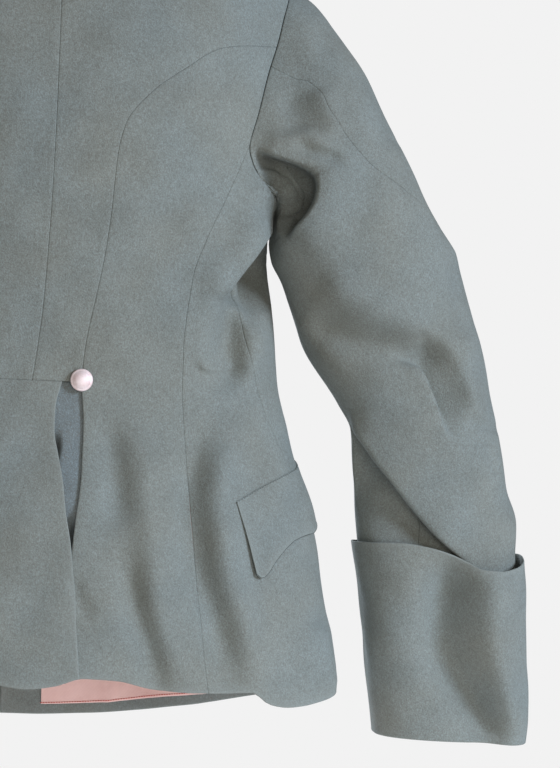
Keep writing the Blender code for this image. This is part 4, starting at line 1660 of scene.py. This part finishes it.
def blank(name: str) -> tuple[Material, Tree, Node]:
    """Starts a node material.

    Args:
        name: Its name.

    Returns:
        The material, its tree and its shader.
    """
    material = bpy.data.materials.new(name)
    material.use_nodes = True
    return material, material.node_tree, material.node_tree.nodes["Principled BSDF"]


def noise(tree: Tree, where: Socket, size: float, detail: float, roughness: float = 0.5) -> Socket:
    """Adds a cloudy pattern.

    Args:
        tree: Where it goes.
        where: Coordinates in metres.
        size: Size of a cloud in millimetres.
        detail: How many finer sizes are laid over it.
        roughness: How strong those are.

    Returns:
        Its value.
    """
    values = {"Scale": per_metre(size), "Detail": detail, "Roughness": roughness}
    return add(tree, "ShaderNodeTexNoise", {"Vector": where}, values).outputs[0]


def blend(tree: Tree, share: Socket, low: str, high: str) -> Socket:
    """Adds a mix of two colours.

    Args:
        tree: Where it goes.
        share: How much of the second colour there is.
        low: The first colour.
        high: The second colour.

    Returns:
        The mixed colour.
    """
    ends = {6: linear(low), 7: linear(high)}
    return add(tree, "ShaderNodeMix", {0: share}, ends, data_type="RGBA").outputs[2]


@dataclass(frozen=True)
class MilledWool:
    """Milled wool cloth: heathered fibres in several greys under a short, matted nap that hides the weave."""

    name: str
    ground: str = "#767b77"
    dark_fibre: str = "#6a6a66"
    light_fibre: str = "#838b8a"
    worn: str = "#858a86"
    fibre_size: float = 1.1
    fleck_size: float = 3.4
    mottle_size: float = 34.0
    cast_size: float = 70.0
    warm: str = "#fffcf8"
    cool: str = "#fafdff"
    sheen: str = "#c9d2d2"
    wear_share: float = 0.45

    def material(self) -> Material:
        """Builds the node material.

        Returns:
            The material.
        """
        material, tree, shader = blank(self.name)
        where = add(tree, "ShaderNodeTexCoord").outputs["Object"]
        # Fibres lie down the cloth, so the fine pattern is drawn out upwards. Single fibres are too fine to
        # show at this distance: they are drawn as tufts.
        nap = add(tree, "ShaderNodeMapping", {"Vector": where}, {"Scale": (1, 1, 0.8)}).outputs[0]
        fibre = noise(tree, nap, self.fibre_size, 3.0, 0.65)
        fleck = noise(tree, nap, self.fleck_size, 2.0, 0.6)
        mottle = noise(tree, where, self.mottle_size, 3.0, 0.55)
        heather = add(tree, "ShaderNodeValToRGB", {"Fac": fibre})
        ramp = heather.color_ramp
        ramp.elements[0].position, ramp.elements[0].color = 0.3, linear(self.dark_fibre)
        ramp.elements[1].position, ramp.elements[1].color = 0.7, linear(self.light_fibre)
        ramp.elements.new(0.5).color = linear(self.ground)
        patch = add(tree, "ShaderNodeMath", {0: fleck, 1: mottle}, operation="ADD").outputs[0]
        spread = {"From Min": 0.7, "From Max": 1.3, "To Min": 0.9, "To Max": 1.1}
        tone = add(tree, "ShaderNodeMapRange", {"Value": patch}, spread).outputs[0]
        # The dye has faded unevenly, here a little warmer and there a little cooler.
        cast = noise(tree, where, self.cast_size, 1.0)
        turn = add(tree, "ShaderNodeMapRange", {"Value": cast}, {"From Min": 0.3, "From Max": 0.7}).outputs[0]
        toned = heather.outputs[0]
        multiply = {"data_type": "RGBA", "blend_type": "MULTIPLY"}
        for factor in (tone, blend(tree, turn, self.warm, self.cool)):
            toned = add(tree, "ShaderNodeMix", {6: toned, 7: factor}, {0: 1.0}, **multiply).outputs[2]
        wear = add(tree, "ShaderNodeAttribute", attribute_name="wear").outputs["Fac"]
        share = add(tree, "ShaderNodeMath", {0: wear}, {1: self.wear_share}, operation="MULTIPLY").outputs[0]
        worn = {7: linear(self.worn)}
        colour = add(tree, "ShaderNodeMix", {0: share, 6: toned}, worn, data_type="RGBA").outputs[2]
        height = add(tree, "ShaderNodeMath", {0: fibre, 1: fleck}, operation="ADD").outputs[0]
        bump = add(tree, "ShaderNodeBump", {"Height": height}, {"Strength": 0.4, "Distance": 0.0009})
        matt = {"Roughness": 0.92, "Specular IOR Level": 0.18}
        sheen = {"Sheen Weight": 0.12, "Sheen Roughness": 0.5, "Sheen Tint": linear(self.sheen)}
        feed(shader, {"Base Color": colour, "Normal": bump.outputs[0]}, matt | sheen)
        return material


@dataclass(frozen=True)
class LiningTwill:
    """Cotton lining twill: a smooth, slightly lustrous pink with fine slanting lines."""

    name: str = "pink cotton lining twill"
    ground: str = "#f2cdc5"
    shade: str = "#e0b5ac"
    line_size: float = 1.6
    mottle_size: float = 22.0

    def material(self) -> Material:
        """Builds the node material.

        Returns:
            The material.
        """
        material, tree, shader = blank(self.name)
        cut = add(tree, "ShaderNodeUVMap", uv_map="cut").outputs[0]
        # Twill lines are under a millimetre apart, too fine to show, so they are drawn about twice as wide.
        lines = {"Scale": per_metre(self.line_size) * math.pi / 10, "Distortion": 1.2, "Detail": 2.0}
        twill = add(tree, "ShaderNodeTexWave", {"Vector": cut}, lines, bands_direction="DIAGONAL").outputs[1]
        mottle = noise(tree, cut, self.mottle_size, 4.0, 0.6)
        mixed = add(tree, "ShaderNodeMath", {0: twill, 2: mottle}, {1: 0.06}, operation="MULTIPLY_ADD")
        spread = {"From Min": 0.35, "From Max": 0.95}
        share = add(tree, "ShaderNodeMapRange", {"Value": mixed.outputs[0]}, spread).outputs[0]
        colour = blend(tree, share, self.shade, self.ground)
        bump = add(tree, "ShaderNodeBump", {"Height": twill}, {"Strength": 0.08, "Distance": 0.0002})
        links = {"Base Color": colour, "Normal": bump.outputs[0]}
        feed(shader, links, {"Roughness": 0.62, "Sheen Weight": 0.15})
        return material


@dataclass(frozen=True)
class SilveredBrass:
    """Stamped brass with a dull silver wash: a pebbled, matt face that has gone a little pink with age."""

    name: str = "silver-washed stamped brass"
    silver: str = "#ecdcdc"
    tarnish: str = "#cdaca8"
    pebble_size: float = 0.9
    stain_size: float = 5.0

    def material(self) -> Material:
        """Builds the node material.

        Returns:
            The material.
        """
        material, tree, shader = blank(self.name)
        where = add(tree, "ShaderNodeTexCoord").outputs["Object"]
        size = {"Scale": per_metre(self.pebble_size)}
        pebble = add(tree, "ShaderNodeTexVoronoi", {"Vector": where}, size).outputs[0]
        stain = noise(tree, where, self.stain_size, 4.0, 0.6)
        spread = {"From Min": 0.42, "From Max": 0.75, "To Max": 0.7}
        share = add(tree, "ShaderNodeMapRange", {"Value": stain}, spread).outputs[0]
        colour = blend(tree, share, self.silver, self.tarnish)
        relief = {"Strength": 0.3, "Distance": 0.0003}
        bump = add(tree, "ShaderNodeBump", {"Height": pebble}, relief, invert=True)
        links = {"Base Color": colour, "Normal": bump.outputs[0]}
        feed(shader, links, {"Metallic": 0.4, "Roughness": 0.58})
        return material


@dataclass(frozen=True)
class SewingThread:
    """Twisted cotton thread: matt, with its twist as fine slanting shade."""

    name: str
    colour: str
    shade: str
    twist_size: float = 0.5

    def material(self) -> Material:
        """Builds the node material.

        Returns:
            The material.
        """
        material, tree, shader = blank(self.name)
        where = add(tree, "ShaderNodeTexCoord").outputs["Object"]
        colour = blend(tree, noise(tree, where, self.twist_size, 1.0), self.shade, self.colour)
        feed(shader, {"Base Color": colour}, {"Roughness": 0.85})
        return material


@dataclass(frozen=True)
class StudioPaper:
    """Pale studio paper that the floor is covered with, lit so evenly that it glows a little."""

    name: str = "pale studio paper"
    colour: str = "#f6f6f6"
    glow: float = 0.3

    def material(self) -> Material:
        """Builds the node material.

        Returns:
            The material.
        """
        material, _, shader = blank(self.name)
        colours = dict.fromkeys(("Base Color", "Emission Color"), linear(self.colour))
        feed(shader, values=colours | {"Roughness": 0.9, "Emission Strength": self.glow})
        return material


# Sewing and buttons
def group(name: str, inputs: Sequence[tuple[str, str]]) -> tuple[Tree, Node]:
    """Starts a Geometry Nodes tree.

    Args:
        name: Its name.
        inputs: Name and socket type of each input besides the geometry.

    Returns:
        The tree and its input node.
    """
    tree = bpy.data.node_groups.new(name, "GeometryNodeTree")
    tree.interface.new_socket("Geometry", in_out="INPUT", socket_type="NodeSocketGeometry")
    for label, kind in inputs:
        tree.interface.new_socket(label, in_out="INPUT", socket_type=kind)
    tree.interface.new_socket("Geometry", in_out="OUTPUT", socket_type="NodeSocketGeometry")
    return tree, add(tree, "NodeGroupInput")


def close_group(tree: Tree, instances: Socket, finish: Socket) -> None:
    """Ends a tree: real geometry, smooth, with its material.

    Args:
        tree: The tree.
        instances: What it made.
        finish: The material socket.
    """
    real = add(tree, "GeometryNodeRealizeInstances", {0: instances}).outputs[0]
    shaded = add(tree, "GeometryNodeSetShadeSmooth", {0: real}).outputs[0]
    dressed = add(tree, "GeometryNodeSetMaterial", {"Geometry": shaded, "Material": finish}).outputs[0]
    add(tree, "NodeGroupOutput", {0: dressed})


def baked(name: str, base: Mesh, tree: Tree, values: dict[str, Any]) -> Piece:
    """Runs a tree on a mesh and keeps the result as a plain mesh.

    Args:
        name: Name of the new piece.
        base: The mesh that the tree starts from.
        tree: The tree.
        values: Its inputs by name.

    Returns:
        The new object.
    """
    obj = placed(name, base)
    modifier = obj.modifiers.new("made", "NODES")
    modifier.node_group = tree
    for item in tree.interface.items_tree:
        if item.item_type == "SOCKET" and item.in_out == "INPUT" and item.name in values:
            modifier[item.identifier] = values[item.name]
    graph = bpy.context.evaluated_depsgraph_get()
    made = bpy.data.meshes.new_from_object(obj.evaluated_get(graph))
    obj.modifiers.remove(modifier)
    obj.data = made
    made.name = name
    bpy.data.meshes.remove(base)
    return obj


def line_mesh(name: str, lines: Sequence[Array]) -> Mesh:
    """Makes a mesh of open lines.

    Args:
        name: Its name.
        lines: Points of each line, in metres.

    Returns:
        The mesh, of edges only.
    """
    mesh = bpy.data.meshes.new(name)
    starts = np.cumsum([0] + [len(line) for line in lines])
    edges = [(s + i, s + i + 1) for s, line in zip(starts, lines) for i in range(len(line) - 1)]
    mesh.from_pydata(np.concatenate(lines).tolist(), edges, [])
    return mesh


@dataclass(frozen=True)
class Stitch:
    """Sizes of a stitch: from one to the next, along it, and half the thickness of its thread."""

    pitch: float
    length: float
    radius: float


@dataclass
class Sewing:
    """Stitches at the flap tops and the lining foot, and a dark thread line that paints the shadow under each
    flap's edge.
    """

    flap_top: Stitch = Stitch(3.2, 1.9, 0.3)
    # Stitches as long as their pitch join into a dark line along each flap's lower edge: painted shadow under
    # the edge.
    flap_edge: Stitch = Stitch(1.9, 1.9, 0.32)
    lining: Stitch = Stitch(2.4, 2.3, 0.45)
    ball: Values = field(default_factory=lambda: {"Segments": 6, "Rings": 4, "Radius": 1.0})

    def __post_init__(self) -> None:
        """Builds the stitch tree."""
        inputs = [(name, "NodeSocketFloat") for name in ("Pitch", "Stitch Length", "Thread Radius")]
        tree, given = group("row of stitches", [*inputs, ("Thread", "NodeSocketMaterial")])
        curve = add(tree, "GeometryNodeMeshToCurve", {0: given.outputs["Geometry"]}).outputs[0]
        upright = add(tree, "GeometryNodeSetCurveNormal", {0: curve}, mode="Z_UP").outputs[0]
        pitch = given.outputs["Pitch"]
        dots = add(tree, "GeometryNodeCurveToPoints", {0: upright, "Length": pitch}, mode="LENGTH")
        ball = add(tree, "GeometryNodeMeshUVSphere", values=self.ball).outputs[0]
        length = given.outputs["Stitch Length"]
        half = add(tree, "ShaderNodeMath", {0: length}, {1: 0.5}, operation="MULTIPLY").outputs[0]
        radius = given.outputs["Thread Radius"]
        size = add(tree, "ShaderNodeCombineXYZ", {0: radius, 1: radius, 2: half}).outputs[0]
        stitch = add(tree, "GeometryNodeTransform", {0: ball, "Scale": size}).outputs[0]
        laid = add(
            tree, "GeometryNodeInstanceOnPoints",
            {"Points": dots.outputs[0], "Instance": stitch, "Rotation": dots.outputs["Rotation"]},
        ).outputs[0]
        close_group(tree, laid, given.outputs["Thread"])
        self.tree = tree

    def row(self, name: str, lines: Sequence[Array], thread: Material, slot: str, stitch: Stitch) -> None:
        """Lays one kind of stitch along lines.

        Args:
            name: Name of the piece.
            lines: Points of each line, in metres.
            thread: The thread's material.
            slot: The record's material slot.
            stitch: Sizes of the stitch.
        """
        sizes = {"Pitch": stitch.pitch, "Stitch Length": stitch.length, "Thread Radius": stitch.radius}
        values = {label: size * MM for label, size in sizes.items()} | {"Thread": thread}
        register(baked(name, line_mesh(name, lines), self.tree, values), slot)


@dataclass
class Buttons:
    """Domed buttons: eight down the front and one over each vent."""

    form: BodyForm
    fronts: Fronts
    radius: float = 9.5
    height: float = 5.6
    stand_off: float = 1.2
    waist: tuple[tuple[float, float], tuple[float, float]] = ((36.5, 394.5), (43.5, 394.5))
    front_top: float = 104.0
    front_bottom: float = 440.0
    count: int = 8
    steps: int = 40
    profile: Rows = (
        (0, 1), (0.22, 0.975), (0.45, 0.9), (0.64, 0.77), (0.78, 0.6), (0.84, 0.5), (0.87, 0.5),
        (0.93, 0.46), (0.985, 0.36), (1, 0.24), (0.98, 0.12), (0.92, 0.04), (0.8, 0.02), (0.4, 0), (0, 0),
    )

    def front_drops(self) -> Array:
        """Spaces the front buttons.

        Returns:
            Their drops on the body's rings.
        """
        drops = np.linspace(0, 700, 400)
        wanted = np.linspace(self.front_top, self.front_bottom, self.count)
        return np.interp(wanted, drops - self.form.neck_dip(180.0, drops), drops)

    def turned(self) -> Mesh:
        """Turns one button about +Z from its profile.

        Returns:
            Its mesh.
        """
        rows = np.array(self.profile) * [self.radius * MM, self.height * MM]
        turn = np.linspace(0, 2 * math.pi, self.steps, endpoint=False)
        rings = [[(r * math.cos(t), r * math.sin(t), z) for t in turn] for r, z in rows[1:-1]]
        points = [(0, 0, rows[0, 1]), *[p for ring in rings for p in ring], (0, 0, rows[-1, 1])]
        last = len(points) - 1
        faces: list[tuple[int, ...]] = []
        for i in range(self.steps):
            j = (i + 1) % self.steps
            faces.append((0, 1 + i, 1 + j))
            for r in range(len(rings) - 1):
                upper, lower = 1 + r * self.steps, 1 + (r + 1) * self.steps
                faces.append((upper + i, lower + i, lower + j, upper + j))
            foot = 1 + (len(rings) - 1) * self.steps
            faces.append((foot + j, foot + i, last))
        mesh = bpy.data.meshes.new("turned_button")
        mesh.from_pydata(points, [], faces)
        return mesh

    def seats(self, places: Array, side: Side, lift: float) -> tuple[Array, Array]:
        """Where buttons sit and which way they face.

        Args:
            places: Rows of (angle, drop).
            side: The wearer's side.
            lift: How far out the cloth lies there.

        Returns:
            Points in metres and unit vectors, in the row frame.
        """
        steps = np.array([[0.6, 0], [-0.6, 0], [0, 2.0], [0, -2.0]])
        around = [self.form.points(places + step, side) for step in steps]
        normals = unit(np.cross(around[0] - around[1], around[2] - around[3]))
        points = self.form.points(places, side) + normals * (lift + self.stand_off)
        return points * side.mirror * MM, normals * side.mirror

    def tree(self, button: Piece) -> Tree:
        """Builds the tree that sets a button on each point, facing the way that the point says.

        Args:
            button: The button.

        Returns:
            The tree.
        """
        tree, given = group("set of buttons", [("Metal", "NodeSocketMaterial")])
        named = {"Name": "facing"}
        facing = add(tree, "GeometryNodeInputNamedAttribute", values=named, data_type="FLOAT_VECTOR")
        turn = add(tree, "FunctionNodeAlignRotationToVector", {"Vector": facing.outputs[0]}, axis="Z")
        shape = add(tree, "GeometryNodeObjectInfo", values={"Object": button}).outputs["Geometry"]
        laid = add(
            tree, "GeometryNodeInstanceOnPoints",
            {"Points": given.outputs["Geometry"], "Instance": shape, "Rotation": turn.outputs[0]},
        ).outputs[0]
        close_group(tree, laid, given.outputs["Metal"])
        return tree

    def build(self, metal: Material) -> None:
        """Makes the row down the front and the pair at the waist.

        Args:
            metal: Their material.
        """
        drops = self.front_drops()
        lift = self.fronts.wall + self.fronts.overlap_gap
        front = self.seats(stacked(180 + 0 * drops, drops), Side.LEFT, lift)
        waist = [self.seats(self.form.on_back([place]), side, 0.0) for side, place in zip(Side, self.waist)]
        sets = {
            "buttons_front": (*front, [f"front_button_{i + 1}" for i in range(self.count)]),
            "buttons_waist": (
                *(np.concatenate([one[i] for one in waist]) for i in (0, 1)),
                [f"waist_button_{side.suffix}" for side in Side],
            ),
        }
        button = placed("turned_button", self.turned())
        tree = self.tree(button)
        for name, (points, facing, nodes) in sets.items():
            base = bpy.data.meshes.new(name)
            base.from_pydata(points.tolist(), [], [])
            ways = base.attributes.new("facing", "FLOAT_VECTOR", "POINT")
            ways.data.foreach_set("vector", facing.astype(np.float32).reshape(-1))
            register(baked(name, base, tree, {"Metal": metal}), "button_metal", *nodes)
        bpy.data.objects.remove(button)


# Studio
@dataclass(frozen=True)
class Lamp:
    """A soft light: where it stands, its power in watts, the width of its face and its colour."""

    name: str
    place: tuple[float, float, float]
    power: float
    size: float
    colour: str


@dataclass
class Studio:
    """Camera, soft lights and a pale floor."""

    camera_place: tuple[float, float, float] = (0.0, 2.5, -0.42)
    camera_aim: tuple[float, float, float] = (-0.20437, 0.08, -0.3905)
    camera_roll: float = math.radians(2.382)
    lens: float = 134.29
    floor_drop: float = 0.86
    floor_radius: float = 0.9
    floor_sides: int = 96
    light_aim: tuple[float, float, float] = (-0.1, 0.0, -0.35)
    lamps: Sequence[Lamp] = (
        Lamp("key", (-2.7, 1.95, 0.6), 127, 1.0, "#d6e6fa"),
        Lamp("fill", (-0.6, 2.9, -0.45), 38, 1.6, "#f3efe8"),
        Lamp("front key", (0.8, -3.1, 0.6), 150, 1.4, "#dbe6f2"),
    )
    backdrop: str = "#f2f2f2"
    sky: str = "#fae9d9"
    sky_strength: float = 0.195

    def camera(self) -> None:
        """Sets the camera at the photograph's viewing angle."""
        data = bpy.data.cameras.new("camera")
        data.lens, data.sensor_width = self.lens, 36.0
        data.clip_start, data.clip_end = 0.05, 200.0
        obj = placed("camera", data)
        place = Vector(self.camera_place)
        obj.location = place
        look = (Vector(self.camera_aim) - place).to_track_quat("-Z", "Y")
        obj.rotation_mode = "QUATERNION"
        obj.rotation_quaternion = look @ Quaternion((0, 0, 1), self.camera_roll)
        bpy.context.scene.camera = obj

    def light(self, lamp: Lamp) -> None:
        """Adds a soft light that looks at the middle of the tunic.

        Args:
            lamp: The light.
        """
        data = bpy.data.lights.new(lamp.name, "AREA")
        data.energy, data.size, data.color = lamp.power, lamp.size, linear(lamp.colour)[:3]
        obj = placed(lamp.name, data)
        obj.location = lamp.place
        obj.rotation_mode = "QUATERNION"
        obj.rotation_quaternion = (Vector(self.light_aim) - Vector(lamp.place)).to_track_quat("-Z", "Y")

    def build(self) -> None:
        """Sets up the camera, lights, floor and sky."""
        self.camera()
        for lamp in self.lamps:
            self.light(lamp)
        mesh = bpy.data.meshes.new("floor")
        turn = np.linspace(0, 2 * math.pi, self.floor_sides, endpoint=False)
        rim = stacked(np.cos(turn), np.sin(turn), 0 * turn - self.floor_drop / self.floor_radius)
        mesh.from_pydata((rim * self.floor_radius).tolist(), [], [tuple(range(self.floor_sides))])
        mesh.materials.append(StudioPaper().material())
        placed("floor", mesh)
        bpy.context.scene.view_settings.view_transform = "Standard"
        world = bpy.data.worlds.new("sky")
        bpy.context.scene.world = world
        world.use_nodes = True
        tree = world.node_tree
        sky = tree.nodes["Background"]
        sky.inputs["Color"].default_value = linear(self.sky)
        sky.inputs["Strength"].default_value = self.sky_strength
        backdrop = add(tree, "ShaderNodeBackground", values={"Color": linear(self.backdrop)}).outputs[0]
        seen = add(tree, "ShaderNodeLightPath").outputs["Is Camera Ray"]
        mixed = add(tree, "ShaderNodeMixShader", {0: seen, 1: sky.outputs[0], 2: backdrop}).outputs[0]
        tree.links.new(mixed, tree.nodes["World Output"].inputs["Surface"])


def main() -> None:
    """Builds the tunic piece by piece, then the studio round it."""
    logging.basicConfig(level=logging.INFO, format="%(name)s: %(message)s")
    wool = MilledWool("milled heathered wool").material()
    unfaded = MilledWool("milled heathered wool, unfaded", ground="#6d7679", light_fibre="#7f8b90").material()
    pink = LiningTwill().material()
    metal = SilveredBrass().material()
    # This dark thread also makes the line along each flap's lower edge that paints the shadow under it.
    thread = SewingThread("grey-green sewing thread", "#5d635f", "#3a3f3c").material()
    red = SewingThread("red sewing thread", "#cc5148", "#a8413a").material()
    form = BodyForm()
    seams = SeamPlan(form)
    back = Back(form, seams)
    back.build(wool)
    fronts = Fronts(form, seams)
    fronts.build(wool)
    feet = fronts.build_linings(pink, back.side_places())
    VentedTail(form, seams).build(wool, unfaded)
    Collar(form, seams).build(wool)
    Sleeves(form, seams).build(wool)
    Cuffs().build(wool)
    flap_lines = PocketFlaps(form).build(wool)
    sewing = Sewing()
    sewing.row("stitches_flap_top", flap_lines[0::2], thread, "wool", sewing.flap_top)
    # A dark thread line along each flap's lower edge: painted shadow under the edge.
    sewing.row("stitches_flap_edge", flap_lines[1::2], thread, "wool", sewing.flap_edge)
    sewing.row("stitches_lining", feet, red, "lining", sewing.lining)
    Buttons(form, fronts).build(metal)
    Studio().build()


if __name__ == "__main__":
    main()
